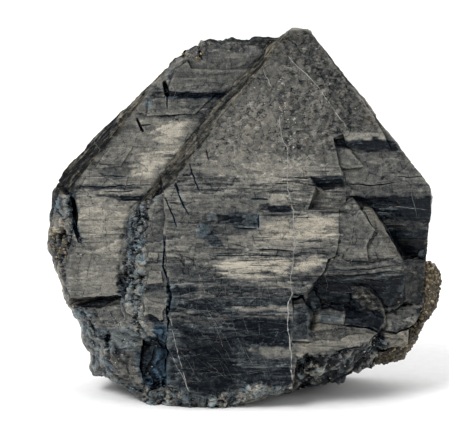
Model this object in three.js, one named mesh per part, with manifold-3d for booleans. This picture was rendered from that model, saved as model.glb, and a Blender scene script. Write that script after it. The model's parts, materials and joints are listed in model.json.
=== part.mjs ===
// Tungsten ore hand specimen: a group of intergrown tabular wolframite crystals with a remnant
// of granular host rock on its right flank. It stands on its flat broken base.
//
// Every corner is given in millimetres in the face frame of the front crystal: u to the right
// along the striations, v up the broad face and w out of it. The broad face leans back by LEAN,
// and at() turns such a corner into the part's frame: +X right, -Y the front, +Z up.
// The crystals are convex blocks and flat plates that are joined, then cut where they are stepped.
import * as THREE from "three";
import { ConvexGeometry } from "three/addons/geometries/ConvexGeometry.js";
import { mergeVertices } from "three/addons/utils/BufferGeometryUtils.js";
import Module from "manifold-3d";

const wasm = await Module();
wasm.setup();

// ---- Driving dimensions, in millimetres and degrees ----
const LEAN = 12; // the broad face leans back by this much
const FRONT = 0; // level (w) of the front crystal's broad face
const RIGHT_STEP = -2.8; // level of the stepped face on the right shoulder
const LEFT_FACE = -6.5; // level of the left crystal's broad face
const FOOT = { v: 0.3, w: -4 }; // the front edge of the base, which sets the height of the floor
const ORIGIN = { u: 0.05, back: 19.97 }; // the part's origin: u, and the distance behind that front edge
const GAP = 0.3; // between the crystals and the host rock
const PLATE_FOOT = -9.5; // level that the broad face's edges drop to
const DARK_FOOT = -14; // level at the foot of the dark face on the right
const REAR_FACE = -32; // level of the tabular crystals that show at the back

// ---- Limits for the solids ----
const SAME_PLACE = 1e-4; // corners closer than this, in millimetres, are one corner
const SLIGHT_TURN = 0.25; // sine of the turn up to which two walls of a plate count as one

// ---- From the face frame to the part's frame ----
const lean = THREE.MathUtils.degToRad(LEAN);
const upFace = new THREE.Vector3(0, Math.sin(lean), Math.cos(lean));
const outOfFace = new THREE.Vector3(0, -Math.cos(lean), Math.sin(lean));
const floorCorner = new THREE.Vector3()
  .addScaledVector(upFace, FOOT.v)
  .addScaledVector(outOfFace, FOOT.w);
const origin = new THREE.Vector3(ORIGIN.u, floorCorner.y + ORIGIN.back, floorCorner.z);

function at([u, v, w]) {
  return new THREE.Vector3(u, 0, 0).addScaledVector(upFace, v).addScaledVector(outOfFace, w).sub(origin);
}

// ---- Solids ----
function solidOf(geometry) {
  const bare = new THREE.BufferGeometry().setAttribute("position", geometry.getAttribute("position"));
  if (geometry.index) bare.setIndex(geometry.index);
  const merged = mergeVertices(bare, SAME_PLACE);
  return new wasm.Manifold(
    new wasm.Mesh({
      numProp: 3,
      vertProperties: merged.getAttribute("position").array,
      triVerts: new Uint32Array(merged.index.array),
    }),
  );
}

// A convex block with the given corners.
function block(...corners) {
  return solidOf(new ConvexGeometry(corners.map(at)));
}

// A corner list at one level.
function level(w, ...corners) {
  return corners.map(([u, v]) => [u, v, w]);
}

// A flat plate with its face at level top and its foot at level foot. outline runs anticlockwise
// seen from the front. Its third value is the splay of the wall to the next corner: how far the
// wall runs out for each millimetre that it drops. Where the outline turns by less than a quarter
// of a radian or so, the foot's corner is simply the mean of what its two walls give.
function plate(top, foot, outline) {
  const n = outline.length;
  const drop = top - foot;
  const walls = outline.map(([u, v, splay = 0], i) => {
    const [u2, v2] = outline[(i + 1) % n];
    const along = new THREE.Vector2(u2 - u, v2 - v).normalize();
    const out = new THREE.Vector2(along.y, -along.x).multiplyScalar(splay * drop);
    return { corner: new THREE.Vector2(u, v), along, out };
  });
  const feet = walls.map(({ corner, along, out }, i) => {
    const before = walls[(i + n - 1) % n];
    const turn = before.along.cross(along);
    if (Math.abs(turn) < SLIGHT_TURN) {
      return corner.clone().add(out.clone().add(before.out).divideScalar(2));
    }
    const reach = out.clone().sub(before.out).cross(along) / turn;
    return corner.clone().add(before.out).addScaledVector(before.along, reach);
  });
  const ring = outline.map(([u, v]) => new THREE.Vector2(u, v));
  const cap = THREE.ShapeUtils.triangulateShape(ring, []);
  const corners = [
    ...ring.map((p) => at([p.x, p.y, top])),
    ...feet.map((p) => at([p.x, p.y, foot])),
  ];
  const faces = [
    ...cap,
    ...cap.map(([a, b, c]) => [a + n, c + n, b + n]),
    ...ring.flatMap((_, i) => {
      const j = (i + 1) % n;
      return [
        [i, i + n, j + n],
        [i, j + n, j],
      ];
    }),
  ];
  const geometry = new THREE.BufferGeometry().setFromPoints(corners);
  geometry.setIndex(faces.flat());
  return solidOf(geometry);
}

function joined(solids) {
  return solids.reduce((sum, solid) => sum.add(solid));
}

// What is left of a solid after the cuts, without the thin chips that a cut can leave loose.
function cutBy(solid, cuts) {
  const left = cuts.reduce((rest, cut) => rest.subtract(cut), solid);
  return left.decompose().reduce((most, body) => (body.volume() > most.volume() ? body : most));
}

// ---- The mass behind the faces ----
function backMass() {
  const upper = block(
    [-14.5, 89.3, -10], [-1, 92.3, -11], [9, 93.2, -11], [16.2, 94.2, -6], [16.8, 93.6, -9],
    [46, 55.6, -9], [46.6, 53.2, -13], [46.2, 48, -17], [45.6, 40, -20],
    [-49.2, 40, -18], [-48, 54, -14.5], [-44.8, 60, -13], [-20, 85.1, -10.5],
    [-9, 86, -21], [12, 88, -20], [37, 55, -27], [38, 36, -31],
    [-40, 36, -31], [-38, 56, -26], [-22, 77, -22],
  );
  const lower = block(
    [-49.2, 40, -18], [-43.6, 27, -16], [-39.4, 15, -20], [-37.6, 8.3, -21], [-34, 7.4, -19],
    [-27.2, 3.4, -13], [-24.3, 1.3, -9], [-13, 0.3, -4.2], [-5, 0.3, -4.2], [1.5, 1.3, -9],
    [12, 5, -13.6], [25, 6.9, -17.5], [32.5, 11.5, -21], [42, 20, -22], [45, 31, -20],
    [45.6, 40, -20], [23, 8, -38.5], [35, 17, -35], [38, 36, -31], [-40, 36, -31],
    [-36, 18, -36], [-31, 8, -38.5], [-33, 7, -30], [-10, 7, -39],
  );
  // A wide and a narrow tabular crystal that show only at the back, and the broken heel below them.
  const rearWide = block(
    ...level(REAR_FACE, [-32, 39], [-31, 52], [-14, 69], [-4, 69.5], [14, 50], [15, 37], [-10, 33]),
    [-38, 38, -24], [-37, 56, -23.5], [-20, 77, -21], [-2, 80, -20.5], [20, 53, -26],
    [21, 36, -28], [-10, 29, -29], [-35, 33, -28],
  );
  const rearNarrow = block(
    ...level(REAR_FACE, [20, 26], [20.5, 47], [28, 48.5], [34, 39], [33, 27]),
    [16, 23, -26], [16.5, 54, -24.5], [30, 57.5, -23.5], [40, 44, -22], [39, 25, -23],
    [27, 18, -30],
  );
  const heel = block(
    [-35, 27, -29], [-34.5, 8, -35], [-27, 6.8, -39.6], [9, 6.2, -41], [26, 9.5, -37.6],
    [33, 21, -32], [18, 29, -32.4], [-12, 33, -31.6], [-20, 20, -37.4], [2, 18, -38.6],
    ...level(-25, [-34, 28], [-30, 8], [30, 12], [32, 26]),
  );
  return [upper, lower, rearWide, rearNarrow, heel];
}

// ---- Left crystal, lower than the front one ----
function leftCrystal() {
  const upper = block(
    ...level(LEFT_FACE - 0.4, [-13.5, 89], [4, 89.4], [-17, 86.6]),
    ...level(LEFT_FACE, [-31.3, 71.5], [-42.2, 56.8], [-42.6, 44], [-44.4, 36], [-43.4, 28.2]),
    ...level(LEFT_FACE, [-24, 29], [5, 60]),
    [-15.2, 89.8, -8.3], [-20, 85.5, -8.9], [-30, 75.6, -9.6], [-40, 65.8, -11.2],
    [-45, 60.2, -12.2], [-48.4, 54.5, -13.4], [-48.6, 51, -14], [-49.6, 42, -14],
    [-49.9, 40, -15], [-47, 35, -13.4], [-45.4, 30, -12], [-44.2, 26.8, -12],
    [-12, 91.2, -8.9], [-8.5, 92.5, -9.2], [-1, 93.2, -9.2], [4, 94, -9.4], [9, 93.9, -9.4],
    ...level(-20, [-18, 82], [8, 84], [-40, 55], [-38, 32], [0, 32]),
  );
  const lower = block(
    ...level(-8.8, [-43, 25.8], [-36, 24.9], [-31, 28.4], [-22, 28.4]),
    ...level(-8.8, [-22, 19.5], [-34, 19.5], [-40, 21.5]),
    [-43.8, 26.6, -12], [-41.8, 23.4, -14], [-40.4, 19.4, -14.6], [-40.2, 17, -16.4],
    [-39.4, 15, -17], [-38.2, 10.4, -18.4], [-37, 7.9, -19.6], [-34.5, 7.3, -17.8],
    [-31.2, 5, -15], [-28.6, 4.7, -13.8], [-27.4, 3.2, -12], [-24.5, 1.2, -8.3],
    [-22.5, 0.8, -6.6], [-25, 12, -8.6], [-33, 9.6, -13], [-20, 3, -6.4], [-20, 18, -7.2],
    ...level(-22, [-38, 24], [-34, 10], [-18, 4], [-18, 26]),
  );
  // Two flat steps high on the face, each ending below in a ledge, and two low ones at its left rim.
  const sunk = LEFT_FACE - 2;
  const upperStep = plate(LEFT_FACE + 0.6, sunk, [
    [-19.4, 79.9, 0.9], [-3.4, 79.3, 0], [2.6, 85, 0.4],
    [-13.2, 85.3, 0.3], [-13.8, 87.4, 0.3], [-17.2, 85.3, 0.3],
  ]);
  const middleStep = plate(LEFT_FACE + 0.3, sunk, [
    [-24.4, 73.7, 0.9], [-12.4, 74.4, 0], [-7, 79.6, 0], [-19.6, 80, 0], [-23.8, 78.6, 0.6],
  ]);
  const upperRimStep = plate(LEFT_FACE + 0.2, sunk, [
    [-37.4, 60.6, 0.9], [-31, 61.2, 0.2], [-28, 66, 0], [-33.6, 65.8, 0.6],
  ]);
  const lowerRimStep = plate(LEFT_FACE + 0.25, sunk, [
    [-41, 55.4, 0.9], [-30, 55.8, 0.9], [-29.4, 58.4, 0], [-39.6, 58.2, 0.6],
  ]);
  const lowFacet = block(
    [-37.6, 25.4, -8.4], [-28, 26.4, -6], [-26, 19, -5.2], [-25.6, 6, -5.8],
    [-26.6, 3.4, -8.4], [-31, 5.3, -10.4], [-34.4, 12, -10.6], [-38.4, 19.4, -11.4],
    ...level(-15, [-37, 24], [-24, 24], [-24, 6], [-32, 8]),
  );
  return [upper, lower, upperStep, middleStep, upperRimStep, lowerRimStep, lowFacet];
}

// ---- Front crystal ----
function frontCrystal() {
  const broadFace = plate(FRONT, PLATE_FOOT, [
    // the apex and the upper left edge
    [16.9, 93.9, 0.1], [15.8, 94.6, 0.1], [11.8, 94.8, 0.05], [9.9, 93, 0.28], [4.8, 85.6, 0.5],
    [-5, 74, 0.68], [-14, 61, 0.66], [-17, 57, 0.8],
    // down the fissure and along the foot
    [-19.6, 53.8, 0.3], [-19.7, 44, 0.1], [-19.1, 30, 0.05], [-18.9, 20, 0.05], [-19.3, 6, 0.5],
    [-15, 5.2, 0.4], [-10, 3.7, 0.4], [-6, 5.1, 0.4], [0, 6.7, 0.3], [6, 6.3, 0.1], [11.8, 5.4, 0.05],
    // up the right side past the tilted face and the triangular crystal
    [13, 13, 0.2], [22, 13.2, 0.5], [25, 15.3, 0.2], [13, 15.8, 0.1], [11.9, 17, 0.1],
    [11.8, 28.4, 0.2], [15, 29, 0.3], [17, 31.3, 0.3], [19.8, 34.8, 0.2], [20.8, 37.6, 0.15],
    [22.6, 38.4, 0.1], [23.8, 44, 0.1], [23.6, 49.8, 0.15],
    // round the notches above the triangular crystal and back up to the apex
    [15.8, 50, 0.25], [16.6, 53, 0.35], [17.6, 56, 0.1], [16, 58.5, 1], [24.4, 58.6, 0.1],
    [23.6, 61.2, 0.2], [22.9, 65, 0.2], [22.2, 68.2, 0.3], [24.7, 69.3, 0.1], [25.2, 67.9, 1.1],
    [35.2, 67.9, 0.05], [33.4, 71.6, 0.05],
  ]);
  // The narrow face left of the fissure, with the encrusted slope below it.
  const sideBand = plate(-1.3, LEFT_FACE, [
    [-19.2, 54.6, 0], [-22, 53.2, 0.9], [-24.6, 48, 1.05], [-25.2, 36, 1.05], [-25.4, 22, 1.2],
    [-23, 18.4, 0.3], [-19, 17.6, 0],
  ]);
  const crust = block(
    [-26.4, 51.6, -2.4], [-23, 54.4, -2], [-28.8, 47.4, -4], [-29.6, 42, -4.6], [-27, 36, -3.4],
    [-30.6, 33, -5], [-29.8, 29.4, -5.4], [-26.6, 26, -4], [-23, 30, -2], [-23, 46, -1.9],
    ...level(LEFT_FACE - 1, [-25, 54.6], [-29.8, 48.8], [-30.8, 45], [-30.4, 38.6]),
    ...level(LEFT_FACE - 1, [-32.2, 33], [-31.4, 28.8], [-27.6, 25]),
  );
  // Small broken facets stacked up the narrow face.
  const facets = [
    block(
      ...level(-0.8, [-24.2, 37.3], [-21.8, 37], [-21.8, 39.1], [-23.8, 39.5]),
      ...level(-4, [-25.2, 36.4], [-21, 36.4], [-21, 40], [-25, 40.4]),
    ),
    block(
      ...level(-0.7, [-24.4, 31.6], [-20.6, 31.9], [-20.8, 34.6], [-23.6, 35]),
      ...level(-4, [-25.2, 31], [-20, 31.4], [-20, 35.6], [-25, 36]),
    ),
    block(
      ...level(-0.6, [-24.8, 23.6], [-20.7, 23.2], [-20.6, 26.4], [-24.4, 27]),
      ...level(-4, [-26, 22.6], [-20, 22.4], [-20, 27.6], [-26, 28]),
    ),
    block(
      [-22.6, 18.2, -1.6], [-20.4, 17.8, -1.4], [-20.4, 20, -0.8], [-23.4, 19.8, -1.2],
      ...level(-5, [-24, 17.4], [-20, 17.2], [-20, 21], [-24.6, 21]),
    ),
  ];
  return [broadFace, sideBand, crust, ...facets];
}

// ---- Right shoulder: a lower step, and the dark face that drops away below it ----
function rightShoulder() {
  const step = plate(RIGHT_STEP, PLATE_FOOT, [
    [17.2, 93.9], [8, 88], [12, 50.2], [25.2, 50.2], [25.6, 53.5], [47, 53], [46.7, 55.5],
  ]);
  const darkFace = block(
    ...level(RIGHT_STEP, [25.6, 53.5], [47, 53], [46.7, 55.5], [28, 58]),
    ...level(PLATE_FOOT, [46.9, 55.4], [28, 58]),
    ...level(DARK_FOOT, [23.7, 37.6], [47.2, 37.1]),
    ...level(-22, [44.4, 38.6], [43.4, 48], [30, 38], [30, 52]),
  );
  const triangleChip = block(
    ...level(-1.5, [22.8, 66], [25.4, 65.9], [26.6, 60.6], [23.8, 60.6]),
    [26.6, 65, -2.1], [29.7, 61, -2.3], [26.4, 60.4, -2.3],
    ...level(-3.4, [22, 66.2], [26, 66.2], [30, 60.8], [23, 60.2]),
  );
  // Below the dark face: a small knob, and the flank that drops to the shelf.
  const knob = block(
    ...level(-11.8, [44, 38.8], [44.9, 38.6], [45, 40.2], [44.4, 40.6]),
    ...level(-16, [43, 37.2], [46.2, 37], [46, 41.8], [43.6, 42.4]),
  );
  const flank = block(
    [39.4, 37.6, -7], [45.7, 37.6, DARK_FOOT], [45.7, 31, -15], [45.3, 26.4, -15.4],
    [40.4, 26.6, -10.4], [38.6, 30.6, -7.6],
    ...level(-22, [40, 40], [45.6, 40], [45.4, 26], [39, 26]),
  );
  return [step, darkFace, triangleChip, knob, flank];
}

// ---- The triangular crystal on the right and the ledge below it ----
function triangleCrystal() {
  const upperPlate = plate(-0.5, -12, [
    [27, 52.8, 0.1], [25.2, 50.8, 0.3], [23.7, 48.8, 0.05], [23.8, 44, 0.05],
    [22.4, 37.6, 0], [31, 37.4, 0.1], [30.4, 41, 0.2], [32.4, 45, 0.12],
  ]);
  const lowerPlate = plate(-1.5, -13, [
    [31.5, 50, 0.1], [30, 50.3, 0], [24, 44, 0], [24, 37.4, 0], [39.5, 37.4, 0.16],
  ]);
  const ledge = block(
    [21.6, 37.8, -0.7], [39.5, 37.5, -1.5], [20.2, 34, -2.6], [40.3, 34.3, -3.4], [40.1, 31.8, -5.6],
    [17.6, 31.6, -4.4], [16.6, 26, -7.4], [36.4, 24.8, -9.6], [40.2, 26.4, -10.7], [39.8, 29.6, -9],
    ...level(-14, [24, 46], [38, 38], [16, 36], [17, 25], [37, 24]),
  );
  const shell = block(
    [26.4, 31.2, -4.7], [29.8, 31, -4.3], [33.4, 27.6, -5.7], [34.6, 24, -7.7], [32.6, 22.6, -8.4],
    [29.4, 24.2, -7.4], [27, 28, -5.8],
    ...level(-11, [24, 31], [35.4, 28], [35.4, 22], [27, 22]),
  );
  return [upperPlate, lowerPlate, ledge, shell];
}

// ---- The lower right: a face that tilts up, two small prisms, and the broken edge ----
function lowerRight() {
  const tiltedFace = block(
    [12.4, 15.4, -0.9], [25, 15.1, -1.2], [28.7, 15.5, -1.7], [29.2, 17.4, -2.6],
    [33.6, 19.9, -4.3], [24, 21.3, -4.3], [12.4, 22, -4.7],
    ...level(-13, [12, 10], [31, 12], [35, 20], [22, 22], [11, 22]),
  );
  const tiltedStep = block(
    [12.4, 21, -4.8], [24.8, 20.6, -4.5], [25.3, 23.9, -5.8], [17.4, 24.7, -6.1], [12.4, 24.8, -6.1],
    [25, 26.4, -7.6], [16.4, 26.8, -7.4],
    ...level(-13, [12, 20], [25.8, 20], [26, 27], [11, 27]),
  );
  const darkStrip = block(
    [24.4, 21.4, -5.2], [34.2, 20, -5.6], [35.2, 23.4, -8.6], [34, 25.6, -9.6], [24.4, 25.4, -7.8],
    ...level(-14, [24, 20], [35.6, 20], [35.6, 27], [24, 27]),
  );
  const shelf = block(
    [34.6, 20.2, -8.6], [38, 20, -8.4], [41.6, 20.5, -9.2], [43.4, 22.6, -11], [44.5, 25.6, -12.6],
    [41, 26, -11.6], [35, 24.4, -10.6],
    ...level(-20, [33, 18], [42.2, 20], [44.3, 30], [33, 30]),
  );
  const lowShelf = block(
    [31.6, 18.6, -5.6], [35, 19.4, -7], [41.4, 19.6, -9.6], [40.6, 16.4, -10.4],
    [35.4, 15.6, -9.4], [33, 17, -7],
    ...level(-20, [31, 12], [40.8, 15], [41.8, 20], [31, 20]),
  );
  const prism = block(
    ...level(-0.9, [12, 17.4], [15.6, 17.1], [15.7, 24.2], [12.1, 24.6]),
    [16.4, 17.2, -2], [16.5, 24.4, -2.4], [12.6, 27.2, -2.4], [14.9, 27.3, -2.8],
    ...level(-9, [11.6, 16.8], [16.6, 17], [16.6, 25], [15, 28], [11.6, 28]),
  );
  const lowPrism = block(
    [15.4, 28.4, -2.9], [16.3, 29.9, -3.2], [17.4, 29.6, -3.2], [18.6, 27.4, -3.8],
    [17.6, 25.4, -4.6], [15.6, 25.6, -4],
    ...level(-9, [14.6, 30], [19.2, 30], [19.6, 25], [14.6, 24.6]),
  );
  const brokenEdge = block(
    [11.6, 14, -0.9], [22, 13.4, -1], [25, 15, -1.8], [28.8, 15.2, -3], [32.8, 16.8, -6.4],
    [11.4, 4.9, -13], [21.5, 5.6, -15.2], [25, 6.7, -17.2], [30, 9.4, -19.2],
    [32.8, 11.3, -20.4],
    ...level(-22, [11, 16], [32, 17], [11, 7]),
  );
  const brokenFoot = block(
    [-19.6, 6.2, -1.8], [-15, 5.2, -1.2], [-4, 5.8, -1.1], [6, 6.3, -1.2], [11.8, 6, -1.4],
    [-21, 1.2, -7.4], [-13.5, 0.4, -4.4], [-5, 0.4, -4.4], [1, 1.2, -8.2], [8, 4, -11.6], [12, 4.9, -13],
    ...level(-16, [-20, 6], [12, 8]),
  );
  return [tiltedFace, tiltedStep, darkStrip, shelf, lowShelf, prism, lowPrism, brokenEdge, brokenFoot];
}

// ---- Cuts ----
// A cut with straight sides between two levels. The second outline may differ from the first.
function through(front, back, outline, backOutline = outline) {
  return block(...level(front, ...outline), ...level(back, ...backOutline));
}

// The broad face tips back a little towards its top and its foot.
function faceShaves() {
  const clear = 12;
  const wedge = (from, to, sunk) =>
    block(
      ...level(FRONT, [-40, from], [60, from]),
      ...level(FRONT - sunk, [-40, to], [60, to]),
      ...level(clear, [-40, from], [60, from], [-40, to], [60, to]),
    );
  return [wedge(62, 97, 2.4), wedge(31, 0, 1.7)];
}

// The right flank drops straight from the shoulder, and the underside rises towards the right.
function flankCuts() {
  const under = -5;
  return [
    through(10, -50, [[47, 53.4], [45.7, 36], [60, 36], [60, 53.4]]),
    through(5, -17, [[-2, 0.6], [12, 4.4], [12, under], [-2, under]],
      [[-2, 0.6], [12, 4.7], [12, under], [-2, under]]),
    through(5, -20, [[12, 4.4], [24, 6], [24, under], [12, under]],
      [[12, 4.7], [24, 6.4], [24, under], [12, under]]),
    through(5, -21, [[24, 6], [34, 11], [34, under], [24, under]],
      [[24, 6.4], [34, 11.3], [34, under], [24, under]]),
  ];
}

// The back is broken along the cleavage in flat steps.
function rearSteps() {
  const behind = -60;
  return [
    // on the wide crystal: one flight to either side of its top
    through(REAR_FACE + 1.9, behind, [
      [-46, 44.6], [-21.6, 43.7], [-20.3, 55.4], [-16.8, 55.8], [-16.2, 62], [-46, 84],
    ]),
    through(REAR_FACE + 1.5, behind, [
      [-1.6, 48.7], [22, 47.4], [22, 80], [1.2, 80], [0.6, 60.6], [-2.4, 60.2],
    ]),
    through(REAR_FACE + 3.4, behind, [
      [-46, 52.4], [-26.8, 51.6], [-26, 58.8], [-46, 76],
    ]),
    // on the narrow crystal
    through(REAR_FACE + 1.7, behind, [[26.6, 34.2], [44, 33.3], [44, 62], [27.9, 62]]),
    // on the heel
    through(-36.4, behind, [[-44, 12.4], [-15.7, 11.6], [-14.2, 24.8], [-44, 26.6]]),
    through(-37.3, behind, [[6.6, 12.9], [30, 11.7], [30, 27], [8.2, 26.1]]),
    // high up, above the wide crystal
    through(-23.4, behind, [
      [4.6, 63.6], [17.2, 62.7], [18, 70.4], [30, 69.9], [30, 96], [-5, 96], [-4.2, 76.4], [4.2, 75.7],
    ]),
    through(-24.9, behind, [[-50, 58.6], [-32.6, 57.9], [-31.4, 70], [-50, 90]]),
    // down the flanks
    through(-22.4, behind, [[-60, 27.4], [-43.4, 28.8], [-42.6, 57.5], [-60, 58]]),
    through(-27.2, behind, [[-60, 20.2], [-38.6, 21.3], [-39.8, 48], [-60, 49]]),
    through(-22.7, behind, [[60, 41.5], [40.9, 42.4], [40.2, 64], [60, 64]]),
  ];
}

// The pit below the narrow face, and a cleft and a notch on the left crystal.
function recesses() {
  const darkPit = through(
    2, -7.6,
    [[-23, 18.8], [-19.2, 18], [-19.2, 5], [-25, 3], [-25.6, 12]],
    [[-22.4, 17], [-19.2, 17], [-19.2, 6], [-23.6, 5], [-24, 12]],
  );
  const leftCleft = through(
    -4, -12,
    [[-44.8, 54.4], [-42.6, 54.6], [-41.4, 49], [-41.9, 44]],
    [[-43.8, 52.4], [-42.6, 50.4], [-42.3, 47]],
  );
  const leftNotch = through(
    0, -9.3,
    [[-45, 29.4], [-31, 31.6], [-29, 30], [-36, 24.8], [-40.4, 24.6]],
    [[-41.6, 26.1], [-32, 27.7], [-36, 25.2]],
  );
  return [darkPit, leftCleft, leftNotch];
}

// ---- The crystal group as one solid ----
function crystalGroup() {
  const whole = joined([
    ...backMass(), ...leftCrystal(), ...frontCrystal(),
    ...rightShoulder(), ...triangleCrystal(), ...lowerRight(),
  ]);
  return cutBy(whole, [...faceShaves(), ...flankCuts(), ...rearSteps(), ...recesses()]);
}

// Everything below the floor that the specimen stands on.
function belowFloor() {
  const [width, depth] = [200, 40];
  return solidOf(new THREE.BoxGeometry(width, width, depth).translate(0, 0, -depth / 2));
}

// ---- Host rock on the right flank ----
function hostRock() {
  const upperLump = block(
    [45.9, 37.3, -16.4], [48, 36.2, -17], [49.6, 34.4, -18], [50, 33, -18.6], [49.2, 30.4, -18.4],
    [48.6, 27.2, -18], [48.7, 25.8, -18.4], [47, 24, -18], [45.2, 21, -18.6], [44.6, 22, -16],
    [45.4, 26, -15.4], [45.9, 31, -14.8], [47.6, 32, -15.4],
    [45.4, 35.4, -21], [47.8, 31.6, -24], [46.4, 27, -27], [43.6, 30.6, -30], [42.6, 25, -31.4],
    [44.4, 22.4, -26], [41, 21.6, -29],
  );
  const lowerLump = block(
    [45, 20.8, -19.4], [43.2, 18, -19.2], [43, 17, -18.6], [41, 14, -18.4], [38.4, 12, -18.6],
    [36, 11.1, -18.2], [33.2, 11.2, -17.6], [34.2, 15.4, -12], [37, 15.9, -11], [41.2, 16, -12.4],
    [42.8, 18.6, -13.6], [44.6, 21.4, -15.6],
    [44, 23, -27], [42.8, 18.4, -26], [41.6, 16.6, -30.4], [38.4, 12.8, -26], [37, 13.4, -31.6],
    [33.6, 12.4, -24.6], [34, 15, -30],
  );
  return joined([upperLump, lowerLump]);
}

function meshOf(name, solid, material) {
  const { numProp, vertProperties, triVerts } = solid.getMesh();
  const geometry = new THREE.BufferGeometry();
  const corners = new THREE.InterleavedBuffer(vertProperties, numProp);
  geometry.setAttribute("position", new THREE.InterleavedBufferAttribute(corners, 3, 0));
  geometry.setIndex([...triVerts]);
  const mesh = new THREE.Mesh(geometry, material);
  mesh.name = name;
  return mesh;
}

const wolframite = new THREE.MeshStandardMaterial({
  color: 0x4a4a47,
  roughness: 0.42,
  metalness: 0.55,
});
const granularRock = new THREE.MeshStandardMaterial({
  color: 0x8c7a55,
  roughness: 0.85,
  metalness: 0,
});

const crystals = cutBy(crystalGroup(), [belowFloor()]);
// The rock lies to the right of the crystals, in front of them and below them, so it keeps its
// gap to them on those three sides.
const clearances = [[0, 0, 0], [GAP, 0, 0], [0, -GAP, 0], [0, 0, -GAP]];
const rock = cutBy(hostRock(), [...clearances.map((shift) => crystals.translate(shift)), belowFloor()]);
const group = new THREE.Group();
group.add(meshOf("wolframite_crystals", crystals, wolframite));
group.add(meshOf("host_rock", rock, granularRock));

export default group;
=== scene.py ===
"""Looks of a tungsten ore hand specimen: intergrown wolframite crystals with a remnant of host rock.

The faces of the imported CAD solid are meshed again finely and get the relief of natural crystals:
striae, flakes, crumbs, slots and veins. Marks on the points say where each tone lies, and
procedural materials read these marks.

Places on the specimen are in millimetres in the face frame of part.mjs: u to the right along the
striae, v up the broad face, w out of it. The row frame is in metres.
"""

import itertools
import json
import math
from types import SimpleNamespace

import bmesh
import bpy
import numpy as np
from mathutils import Matrix, Vector
from mathutils.bvhtree import BVHTree
from mathutils.geometry import delaunay_2d_cdt
from mathutils.kdtree import KDTree

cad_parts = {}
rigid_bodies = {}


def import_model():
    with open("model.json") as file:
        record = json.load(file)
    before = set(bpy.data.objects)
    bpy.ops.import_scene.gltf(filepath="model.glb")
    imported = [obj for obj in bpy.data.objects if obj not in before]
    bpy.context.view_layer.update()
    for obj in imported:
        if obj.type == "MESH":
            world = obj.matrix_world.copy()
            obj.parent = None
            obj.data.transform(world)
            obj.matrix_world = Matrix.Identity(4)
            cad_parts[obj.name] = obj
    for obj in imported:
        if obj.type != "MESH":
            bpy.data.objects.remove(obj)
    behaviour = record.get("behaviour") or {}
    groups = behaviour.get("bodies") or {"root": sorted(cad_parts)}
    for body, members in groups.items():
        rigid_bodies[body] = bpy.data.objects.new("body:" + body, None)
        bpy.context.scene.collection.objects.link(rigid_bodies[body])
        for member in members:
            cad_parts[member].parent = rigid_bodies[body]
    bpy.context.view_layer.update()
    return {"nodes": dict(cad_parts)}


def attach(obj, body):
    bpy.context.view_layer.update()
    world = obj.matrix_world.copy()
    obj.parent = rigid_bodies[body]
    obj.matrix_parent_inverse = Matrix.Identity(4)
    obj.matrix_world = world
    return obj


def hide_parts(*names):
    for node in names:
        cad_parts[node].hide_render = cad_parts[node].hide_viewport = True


# ---- the frame
for leftover in list(bpy.data.objects):
    bpy.data.objects.remove(leftover)

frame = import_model()

MM = 0.001
LEAN = math.radians(12)  # the broad face leans back by this much, as in part.mjs
FOOT = (0.3, -4)  # v and w of the front edge of the base
ORIGIN_U, ORIGIN_BACK = 0.05, 19.97  # where part.mjs puts the row's origin

UP_FACE = np.array([0, math.sin(LEAN), math.cos(LEAN)])
OUT_OF_FACE = np.array([0, -math.cos(LEAN), math.sin(LEAN)])
AXES = np.array([[1, 0, 0], UP_FACE, OUT_OF_FACE])
FLOOR_CORNER = UP_FACE * FOOT[0] + OUT_OF_FACE * FOOT[1]
ORIGIN = np.array([ORIGIN_U, FLOOR_CORNER[1] + ORIGIN_BACK, FLOOR_CORNER[2]])


def to_face(points):
    """Row frame in metres to face frame in millimetres."""
    return (np.asarray(points) / MM + ORIGIN) @ AXES.T


def to_row(points):
    """Face frame in millimetres to row frame in metres."""
    return (np.asarray(points) @ AXES - ORIGIN) * MM


# ---- noise
def hashed(cells, seed):
    """A repeatable number from 0 to 1 for each row of whole numbers, from their mixed bits."""
    mixed = np.full(cells.shape[:-1], seed * 2654435761 % 2**32, np.uint32)
    for k in range(cells.shape[-1]):
        mixed = (mixed ^ cells[..., k].astype(np.int64).astype(np.uint32)) * np.uint32(0x9E3779B1)
        mixed = (mixed ^ (mixed >> np.uint32(15))) * np.uint32(0x85EBCA6B)
        mixed ^= mixed >> np.uint32(13)
    return mixed / 2.0**32


def noise(points, seed):
    """Smooth noise from -1 to 1 with a grain of one unit."""
    base = np.floor(points)
    t = points - base
    t = t * t * (3 - 2 * t)
    total = np.zeros(len(points))
    for corner in itertools.product((0, 1), repeat=points.shape[1]):
        weight = np.prod(np.where(corner, t, 1 - t), axis=1)
        total += weight * hashed(base + corner, seed)
    return total * 2 - 1


def layered(points, seed, layers=3):
    """Noise with finer and weaker layers on it."""
    return sum(noise(points * 2**k + 7.3 * k, seed + k) / 2**k for k in range(layers))


def sway(points, seeds, kind=layered):
    """Noise in several directions, with a seed for each."""
    return np.column_stack([kind(points, seed) for seed in seeds])


def flake(points, seed, tilt):
    """Flat tilted flakes: the height of each point on its flake, from about -1 to 1, and how far it
    is from the flake's rim."""
    axes = range(points.shape[1])
    base = np.floor(points)
    nearest = np.full(len(points), 9.0)
    second = nearest.copy()
    height = np.zeros(len(points))
    for corner in itertools.product((-1, 0, 1), repeat=len(axes)):
        cell = base + corner
        centre = cell + np.stack([hashed(cell, seed + 11 * k) for k in axes], axis=1)
        offset = points - centre
        distance = np.linalg.norm(offset, axis=1)
        level = hashed(cell, seed + 101) * 2 - 1
        for k in axes:
            level += tilt * (hashed(cell, seed + 211 + k) * 2 - 1) * offset[:, k]
        closer = distance < nearest
        second = np.where(closer, nearest, np.minimum(second, distance))
        nearest = np.where(closer, distance, nearest)
        height = np.where(closer, level, height)
    return height, second - nearest


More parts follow.
